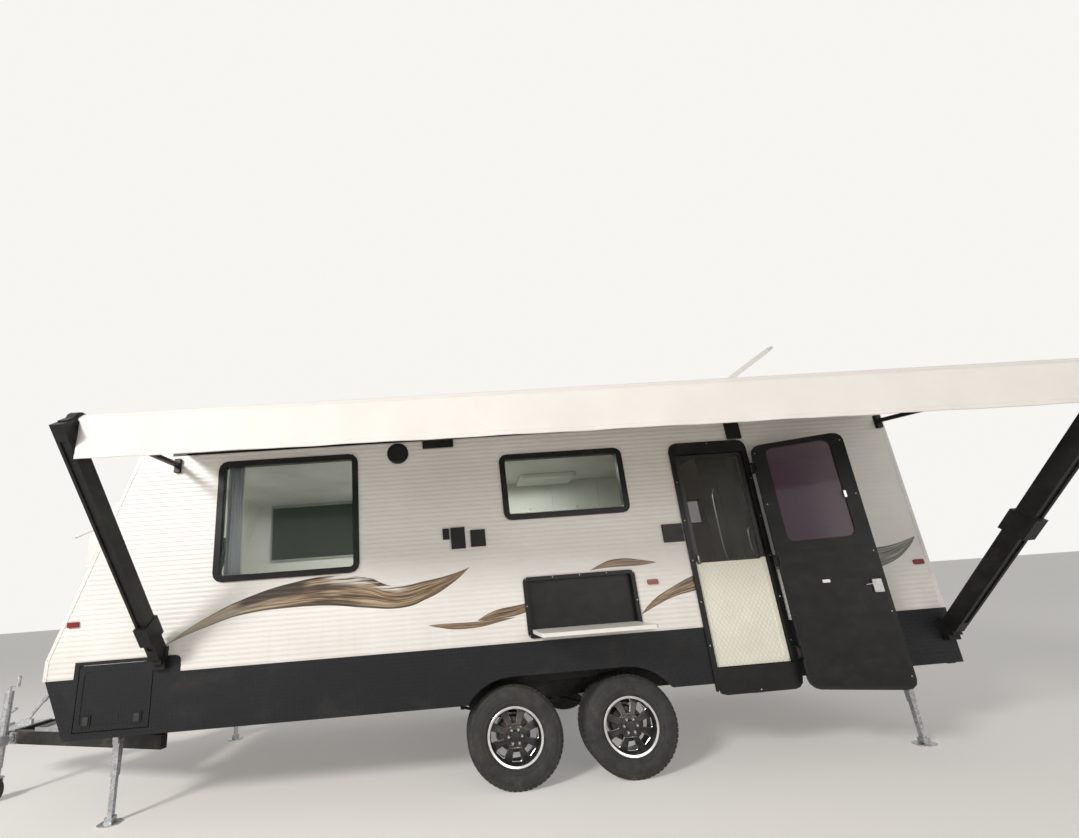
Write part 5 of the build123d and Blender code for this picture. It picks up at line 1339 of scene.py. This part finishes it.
plate("latch_plate", 54, 90, 3, CHROME, on_leaf(4836, 1194, -10), 7, 1, "door_leaf")
plate("latch_lock", 24, 24, 8, CHROME, on_leaf(4836, 1166, -7), 11, 1, "door_leaf")
bent_bar("latch_lever", [(0, 0, 0), (0, 0, 3), (-8, -2, 5), (-40, -6, 5), (-66, -10, 4)], 3, CHROME,
         on_leaf(4836, 1214, -8), "door_leaf")
plate("catch_plate", 18, 52, 4, CHROME, on_leaf(4866, 1859, -12), 5, 1, "door_leaf")
plate("leaf_cover_plate", 46, 22, 5, WHITE_PLASTIC, on_leaf(5121, 1246), 4, 1, "door_leaf")
plate("leaf_inner_panel", 560, 940, 2.5, FRAME_BLACK, on_leaf(5083, 1010), 30, 1, "door_leaf")
leaf_facing = tuple(LEAF_OPEN.to_3x3() @ Vector((0, 1, 0)))
leaf_lines = [leaf_line(along, 600, 2270) for along in (4800, 5360)]
screwed("leaf_screws", leaf_lines, leaf_facing, 0.34, "door_leaf")
plate("screen_latch", 26, 74, 10, HANDLE_BLACK, on_wall(NEAR, 4822, 1477, 4), 6, 1.5, "screen_door")
bent_bar("screen_pull", [(0, -26, 0), (0, -24, 1.5), (0, 0, 2.5), (0, 24, 1.5), (0, 26, 0)], 1.8, CHROME,
         on_wall(NEAR, 4822, 1477, -4), "screen_door")
print("door fittings on")

# %% [markdown]
# Each boot door has two turn latches, and the picnic table has two stays under it. All of them are plates
# and bars from the helpers above.

# %% Boot latches and table stays
BOOT_LATCHES, BOOT_LATCH_HEIGHT = (330, 672), 700
STAY_INSET = 0.06
STAY_BENDS = [(0, 0, 0), (0, 60, -4), (0, 190, -4), (0, 280, -2)]
for side, hand in SIDES:
    body = "boot_door_" + hand
    for number, along in enumerate(BOOT_LATCHES):
        label = "%s_%d" % (hand, number)
        spot = (back(along), inward(side, -6), up(BOOT_LATCH_HEIGHT))
        placed = face_matrix((-side, 0, 0), (0, 0, 1), spot)
        plate("boot_latch_" + label, 62, 84, 3, FRAME_BLACK, placed, 9, 1, body)
        lever = placed @ Matrix.Translation((0, 0.006, 0.003))
        plate("boot_lever_" + label, 40, 56, 5, HANDLE_BLACK, lever, 8, 1.5, body)
flap_low, flap_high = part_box("table_flap")
for number, x in enumerate((flap_low[0] + STAY_INSET, flap_high[0] - STAY_INSET)):
    start = Vector((x, flap_low[1] + 0.13, flap_low[2] - 0.004))
    bent_bar("table_stay_%d" % number, STAY_BENDS, 4, CHROME, Matrix.Translation(start), "table_flap")
    foot = face_matrix((1, 0, 0), (0, -1, 0), start + Vector((0, 0.01, 0.004)))
    plate("table_stay_foot_%d" % number, 22, 40, 3, CHROME, foot, 5, 0.8, "table_flap")
print("latches and stays on")

# %% [markdown]
# The cabin shows through its windows. A dark pleated blind hangs over the far window, a gathered curtain
# at the near one, and a lit ceiling unit shows through the window over the picnic table. Cupboard doors
# line the lockers. The blind and the curtain are sheets: each is drawn along its folds, so its flat
# length is known.

# %% Blind and curtain
BLIND, BLIND_DEPTH = (690, 1780, 1940, 2600), 44
PLEAT_TALL, PLEAT_DEEP = 20, 9
CURTAIN, CURTAIN_DEPTH = (1176, 1300, 1600, 2500), 62
CURTAIN_FOLDS, FOLD_DEEP = 6, 17
BLIND_CLOTH = cloth_finish("blind_cloth", (0.016, 0.02, 0.016), (0.03, 0.035, 0.028), 600)
CURTAIN_CLOTH = cloth_finish("curtain_cloth", (0.8, 0.84, 0.88), (0.88, 0.91, 0.94), 500)
CASSETTE = drifting("cassette_grey", (0.3, 0.32, 0.3), (0.42, 0.44, 0.41), 10, (0.35, 0.5))


def blind_point(share, t):
    """A point of the blind: share runs along it, and t from its top to its foot."""
    front, rear, low, high = BLIND
    pleats = (high - low) / PLEAT_TALL
    zigzag = abs((t * pleats) % 1 - 0.5) * 2 * PLEAT_DEEP
    along, height = front + (rear - front) * share, high - (high - low) * t
    return Vector((back(along), inward(OFF, BLIND_DEPTH + zigzag), up(height)))


def curtain_point(share, t):
    """A point of the curtain, which spreads and folds deeper towards its foot."""
    front, rear, low, high = CURTAIN
    spread = 1 + 0.12 * t * t
    fold = math.sin(share * FULL_TURN * CURTAIN_FOLDS + 0.5 * t) * FOLD_DEEP * (0.8 + 0.25 * t)
    along, height = front + (rear - front) * (0.5 + (share - 0.5) * spread), high - (high - low) * t
    return Vector((back(along), inward(NEAR, CURTAIN_DEPTH + fold), up(height)))


blind_wide, blind_tall = (BLIND[1] - BLIND[0]) / 1000, BLIND[3] - BLIND[2]
blind = sheet_mesh("off_blind", blind_point, 8, steps(2 * round(blind_tall / PLEAT_TALL)), BLIND_CLOTH)
curtain = sheet_mesh("near_curtain", curtain_point, 96, steps(12), CURTAIN_CLOTH)
plate("off_blind_frame", 1130, 740, 16, CASSETTE, on_wall(OFF, 1235, 2290, 36), 10, 2,
      holes=[(0, -15, 1090, 660, 6)])
bent_bar("curtain_track", [(1140, 0, 0), (1500, 0, 0), (2200, 0, 0)], 7, WHITE_PLASTIC,
         on_wall(NEAR, 0, 2508, CURTAIN_DEPTH))

# %% Ceiling unit and cupboards
UNIT_ALONG, UNIT_SIDEWAYS, UNIT_HEIGHT = 4122, 0.55, 2640
LOCKERS, LOCKER_DOORS, DOOR_GAP = (1900, 5400), 6, 5
LOCKER_HEIGHT, LOCKER_DEPTH = 2450, 370
KNOB = [(0, 0), (6, 0), (6, 8), (11, 12), (11, 16), (8, 19), (0, 20)]
PARTITION_HANDLES = ((-0.53, 1490, 2150), (-0.915, 1500, 1720))
CEILING_WHITE = drifting("ceiling_white", (0.78, 0.82, 0.76), (0.86, 0.89, 0.84), 5, (0.3, 0.4))
DARK_SLOT = drifting("slot_dark", (0.02, 0.02, 0.02), (0.05, 0.05, 0.05), 20, (0.5, 0.7))
unit_place = face_matrix((1, 0, 0), (0, -1, 0), (back(UNIT_ALONG), UNIT_SIDEWAYS, up(UNIT_HEIGHT)))
plate("ceiling_unit", 654, 400, 50, CEILING_WHITE, unit_place, 40, 8,
      holes=[(120, 60, 260, 26, 8), (120, -60, 260, 26, 8)])
plate("ceiling_unit_back", 600, 340, 20, DARK_SLOT, unit_place, 30, 2)
wide = (LOCKERS[1] - LOCKERS[0]) / LOCKER_DOORS
for number in range(LOCKER_DOORS):
    placed = on_wall(OFF, LOCKERS[0] + wide * (number + 0.5), LOCKER_HEIGHT, LOCKER_DEPTH)
    plate("locker_door_%d" % number, wide - DOOR_GAP, 368, 15, LAMINATE, placed, 12, 2)
    knob = placed @ Matrix.Translation((0, -0.15, 0.015))
    mesh_piece("locker_knob_%d" % number, *turned(KNOB, 24, False), CHROME, placed=knob)
for number, (y, low, high) in enumerate(PARTITION_HANDLES):
    placed = face_matrix((0, -1, 0), (0, 0, 1), (back(PARTITION), y, up((low + high) / 2)))
    half = (high - low) / 2
    bends = [(0, -half, 0), (0, -half, 34), (0, 0, 38), (0, half, 34), (0, half, 0)]
    bent_bar("partition_handle_%d" % number, bends, 9, CHROME, placed)
print("ceiling unit and cupboards in")

# %% [markdown]
# Cushions and the mattress are foam in tight covers. Each starts as a block a little smaller than its
# place, gets an even skin by a voxel remesh, and is blown up by Blender's cloth with pressure and no
# gravity. How far a point may move is capped, and no point goes below the board that the cushion lies on.
# A sewn seam is pressed in afterwards round the middle of its edge.

# %% Stuffed pieces
STUFFING_PRESSURE, STUFFING_FRAMES, COVER_STIFF = 4.0, 20, 30
EDGE_ROUND = 0.22
SEAM_DEEP, SEAM_WIDE, SEAM_AT = 0.005, 0.012, 0.62


def applied(piece):
    """Keep what the modifiers make as the piece's own mesh."""
    mesh = evaluated_mesh(piece)
    piece.modifiers.clear()
    piece.data = mesh


def blow_up(piece):
    """Fill a piece with pressure, as cloth without gravity."""
    cloth = piece.modifiers.new("stuffing", "CLOTH")
    settings = cloth.settings
    settings.use_pressure = True
    settings.uniform_pressure_force = STUFFING_PRESSURE
    settings.effector_weights.gravity = 0
    settings.tension_stiffness = COVER_STIFF
    settings.compression_stiffness = COVER_STIFF
    cloth.point_cache.frame_end = STUFFING_FRAMES
    for step in range(1, STUFFING_FRAMES + 1):
        bpy.context.scene.frame_set(step)
    applied(piece)
    bpy.context.scene.frame_set(1)


def stuffed(name, low, high, finish, voxel, give):
    """A cushion between two corners, in metres."""
    low, high = Vector(low), Vector(high)
    middle, size = (low + high) / 2, high - low
    work = bmesh.new()
    bmesh.ops.create_cube(work, size=1)
    for vertex in work.verts:
        vertex.co = middle + Vector((c * (s - 2 * give) for c, s in zip(vertex.co, size)))
    rounding = {"offset": min(size) * EDGE_ROUND, "segments": 3, "profile": 0.5}
    bmesh.ops.bevel(work, geom=work.edges[:], affect="EDGES", **rounding)
    mesh = bpy.data.meshes.new(name)
    work.to_mesh(mesh)
    work.free()
    piece = new_object(name, mesh)
    skin = piece.modifiers.new("even_skin", "REMESH")
    skin.mode = "VOXEL"
    skin.voxel_size = voxel
    applied(piece)
    before = [v.co.copy() for v in piece.data.vertices]
    blow_up(piece)
    floor, seam = low.z + give * 0.2, low.z + size.z * SEAM_AT
    for vertex, old in zip(piece.data.vertices, before):
        move = vertex.co - old
        if move.length > give:
            move *= give / move.length
        spot = old + move
        off_middle = spot - middle
        near_seam = max(0, 1 - abs(spot.z - seam) / SEAM_WIDE)
        reach = max(abs(off_middle.x) / size.x, abs(off_middle.y) / size.y)
        at_side = max(0, min(1, 8 * (reach - 0.4)))
        inwards = Vector((-off_middle.x, -off_middle.y, 0)).normalized()
        spot += inwards * SEAM_DEEP * near_seam ** 2 * at_side
        spot.z = max(floor, spot.z)
        vertex.co = spot
    smooth = piece.modifiers.new("soft_skin", "SUBSURF")
    smooth.levels = smooth.render_levels = 1
    applied(piece)
    piece.data.shade_smooth()
    wear(piece, finish)
    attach(piece, "caravan")
    print(name, len(piece.data.polygons), "faces")
    return piece


mattress = stuffed("mattress_stuffed", *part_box("mattress"), finish_of("mattress"), 0.022, 0.016)
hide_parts("mattress")

# %% Dinette
SEATS = ((3100, 3620), (4540, 5060))
SEAT_FLOOR, SEAT_TALL, CUSHION_TALL, PLINTH_TALL = 690, 430, 110, 140
SEAT_INSIDE, SEAT_OUT, SEAT_EDGE = 40, 1000, 4
PLINTH_INSET, PLINTH_DEEP, PLINTH_MIDDLE = 30, 440, 750
TABLE_ALONG, TABLE_MIDDLE, TABLE_TALL, LEG_DEPTH = 4010, 467, 700, 730
LEG_SECTION = [(0, 0), (70, 0), (70, 4), (24, 14), (24, 690), (60, 696), (60, 702), (0, 702)]
SEAT_CLOTH = finish_of("dinette")


def level_board(along, depth, height):
    """A place for a level board inside, so far in from the off side's wall."""
    return face_matrix((1, 0, 0), (0, 1, 0), (back(along), inward(OFF, depth), up(height)))


for number, (front, rear) in enumerate(SEATS):
    middle, wide = (front + rear) / 2, rear - front
    board = level_board(middle, (SEAT_INSIDE + SEAT_OUT) / 2, SEAT_FLOOR + PLINTH_TALL)
    plate("seat_base_%d" % number, wide, SEAT_OUT - SEAT_INSIDE, SEAT_TALL - CUSHION_TALL - PLINTH_TALL,
          LAMINATE, board, 12, 3)
    plate("seat_plinth_%d" % number, wide - 2 * PLINTH_INSET, PLINTH_DEEP, PLINTH_TALL, LAMINATE,
          level_board(middle, PLINTH_MIDDLE, SEAT_FLOOR), 8, 2)
    low = (back(front + SEAT_EDGE), inward(OFF, SEAT_OUT), up(SEAT_FLOOR + SEAT_TALL - CUSHION_TALL))
    high = (back(rear - SEAT_EDGE), inward(OFF, SEAT_INSIDE + SEAT_EDGE), up(SEAT_FLOOR + SEAT_TALL))
    stuffed("seat_cushion_%d" % number, low, high, SEAT_CLOTH, 0.014, 0.012)
board = level_board(TABLE_ALONG, TABLE_MIDDLE, SEAT_FLOOR + TABLE_TALL)
table_top = plate("dinette_table_top", 620, 860, 30, LAMINATE, board, 50, 4)
leg_place = Matrix.Translation((back(TABLE_ALONG), inward(OFF, LEG_DEPTH), up(SEAT_FLOOR)))
mesh_piece("dinette_leg", *turned(LEG_SECTION, 32, False), ALUMINIUM, placed=leg_place)
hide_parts("dinette")
print("dinette built")

# %% [markdown]
# The two gas bottles and the jockey wheel are turned again with a round skin, because their solids only
# have a few flat sides. A bottle has a foot ring, a welded middle seam, a collar and a brass valve.

# %% Gas bottles and jockey wheel
BOTTLE_RADIUS = 0.156
BOTTLE_BODY = [(0, 40), (122, 24), (138, 34), (150, 48), (156, 66), (156, 188), (157.5, 190), (157.5, 196),
               (156, 198), (156, 326), (152, 344), (140, 360), (120, 374), (94, 386), (60, 396), (40, 402),
               (0, 406)]
BOTTLE_FOOT = [(125, 0), (130, 0), (130, 34), (125, 34)]
BOTTLE_COLLAR = [(93, 384), (98, 384), (98, 466), (97, 470), (94, 470), (93, 466)]
VALVE = [(0, 400), (16, 400), (16, 424), (10, 428), (10, 440), (18, 442), (18, 452), (15, 456), (0, 456)]
JOCKEY_TYRE = [(56, -20), (56, 20), (60, 27), (68, 30), (76, 27), (80, 18), (80, -18), (76, -27), (68, -30),
               (60, -27)]
JOCKEY_HUB = [(9, -33), (18, -33), (18, -14), (26, -10), (48, -10), (52, -22), (56, -22), (56, 22), (52, 22),
              (48, 10), (26, 10), (18, 14), (18, 33), (9, 33)]
BOTTLE_GREY = finish_of("gas_bottles")
BRASS = drifting("brass", (0.42, 0.28, 0.1), (0.6, 0.44, 0.2), 40, (0.3, 0.45), metallic=1.0)
low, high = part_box("gas_bottles")
for number, y in enumerate((low[1] + BOTTLE_RADIUS, high[1] - BOTTLE_RADIUS)):
    placed, end = Matrix.Translation(((low[0] + high[0]) / 2, y, low[2])), "_%d" % number
    skin = turned(BOTTLE_BODY, 64, False)
    shell = mesh_piece("gas_bottle" + end, *skin, BOTTLE_GREY, smooth=50, placed=placed)
    mesh_piece("bottle_foot" + end, *turned(BOTTLE_FOOT, 64), BOTTLE_GREY, placed=placed)
    mesh_piece("bottle_collar" + end, *turned(BOTTLE_COLLAR, 64), BOTTLE_GREY, placed=placed)
    mesh_piece("bottle_valve" + end, *turned(VALVE, 24, False), BRASS, placed=placed)
    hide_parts("gas_bottles")
joint = next(j for j in frame["record"]["behaviour"]["joints"] if j["name"] == "jockey_spin")
body, turn = joint["child"], Vector(joint["axis"]).to_track_quat("Z", "Y").to_matrix().to_4x4()
placed = Matrix.Translation([(a + b) / 2 for a, b in zip(*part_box("jockey_wheel"))]) @ turn
jockey_tyre = mesh_piece("jockey_tyre", *turned(JOCKEY_TYRE, 48), RUBBER, body, placed=placed)
mesh_piece("jockey_hub", *turned(JOCKEY_HUB, 48), WHITE_PLASTIC, body, placed=placed)
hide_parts("jockey_wheel")
print("bottles and jockey wheel turned")

# %% [markdown]
# A plain pale floor reaches far past the caravan, and the world behind it is as pale. Soft light comes
# from two large lamps on the camera's side, one high on the left where the photograph is brightest. A
# lamp under the ceiling lights the cabin, which the photograph shows lit.


# %% Floor and light
FLOOR_REACH, FLOOR_GLOW = 200, 0.22
PALE_LIGHT = (1, 0.985, 0.96, 1)
WORLD_LIGHT, WORLD_SEEN = 0.22, 0.93


def seen_rays(tree):
    """One for rays that the camera sees straight, in a mirror or through a pane, and zero for the others."""
    path = tree.tree.nodes.new("ShaderNodeLightPath")
    straight, mirrored_ray, passed = [Signal(tree, path.outputs["Is %s Ray" % kind])
                                      for kind in ("Camera", "Glossy", "Transmission")]
    return straight.math("MAXIMUM", mirrored_ray).math("MAXIMUM", passed)


def stage_floor():
    """The floor that the caravan stands on."""
    mesh = bpy.data.meshes.new("stage_floor")
    corners = [(-1, -1), (1, -1), (1, 1), (-1, 1)]
    mesh.from_pydata([(x * FLOOR_REACH, y * FLOOR_REACH, GROUND) for x, y in corners], [], [(0, 1, 2, 3)])
    floor = new_object("stage_floor", mesh)
    f = Finish("floor_pale", (0.8, 0.78, 0.75), 0.9)
    f.set("Emission Color", PALE_LIGHT)
    f.set("Emission Strength", seen_rays(f) * FLOOR_GLOW)
    wear(floor, f.material)


def lamp(name, place, target, size, power, colour):
    """A rectangular lamp that looks at a target."""
    data = bpy.data.lights.new(name, "AREA")
    data.shape = "RECTANGLE"
    data.size, data.size_y = size
    data.energy = power
    data.color = colour
    lit = new_object(name, data)
    lit.location = place
    lit.rotation_euler = (Vector(target) - Vector(place)).to_track_quat("-Z", "Y").to_euler()


def pale_world():
    """A world that lights softly, and that the camera sees as a pale backdrop."""
    world = bpy.data.worlds.new("pale_world")
    bpy.context.scene.world = world
    world.use_nodes = True
    tree = Tree(world.node_tree)
    background = next(n for n in world.node_tree.nodes if n.type == "BACKGROUND")
    tree.fill(background.inputs["Color"], PALE_LIGHT)
    tree.fill(background.inputs["Strength"], seen_rays(tree) * (WORLD_SEEN - WORLD_LIGHT) + WORLD_LIGHT)


stage_floor()
pale_world()
lamp("key_left", (-3.3, -9.4, 6.4), (4, -1.2, 1), (2.4, 2), 1150, (1, 0.97, 0.94))
lamp("fill_low", (9, -10, 2.2), (5.5, -1, 0.6), (5, 3), 170, (1, 0.95, 0.9))
lamp("cabin_lamp", (back(2600), 0.1, up(2560)), (back(2600), 0.1, 0), (3.6, 0.5), 55, (0.95, 1, 0.93))
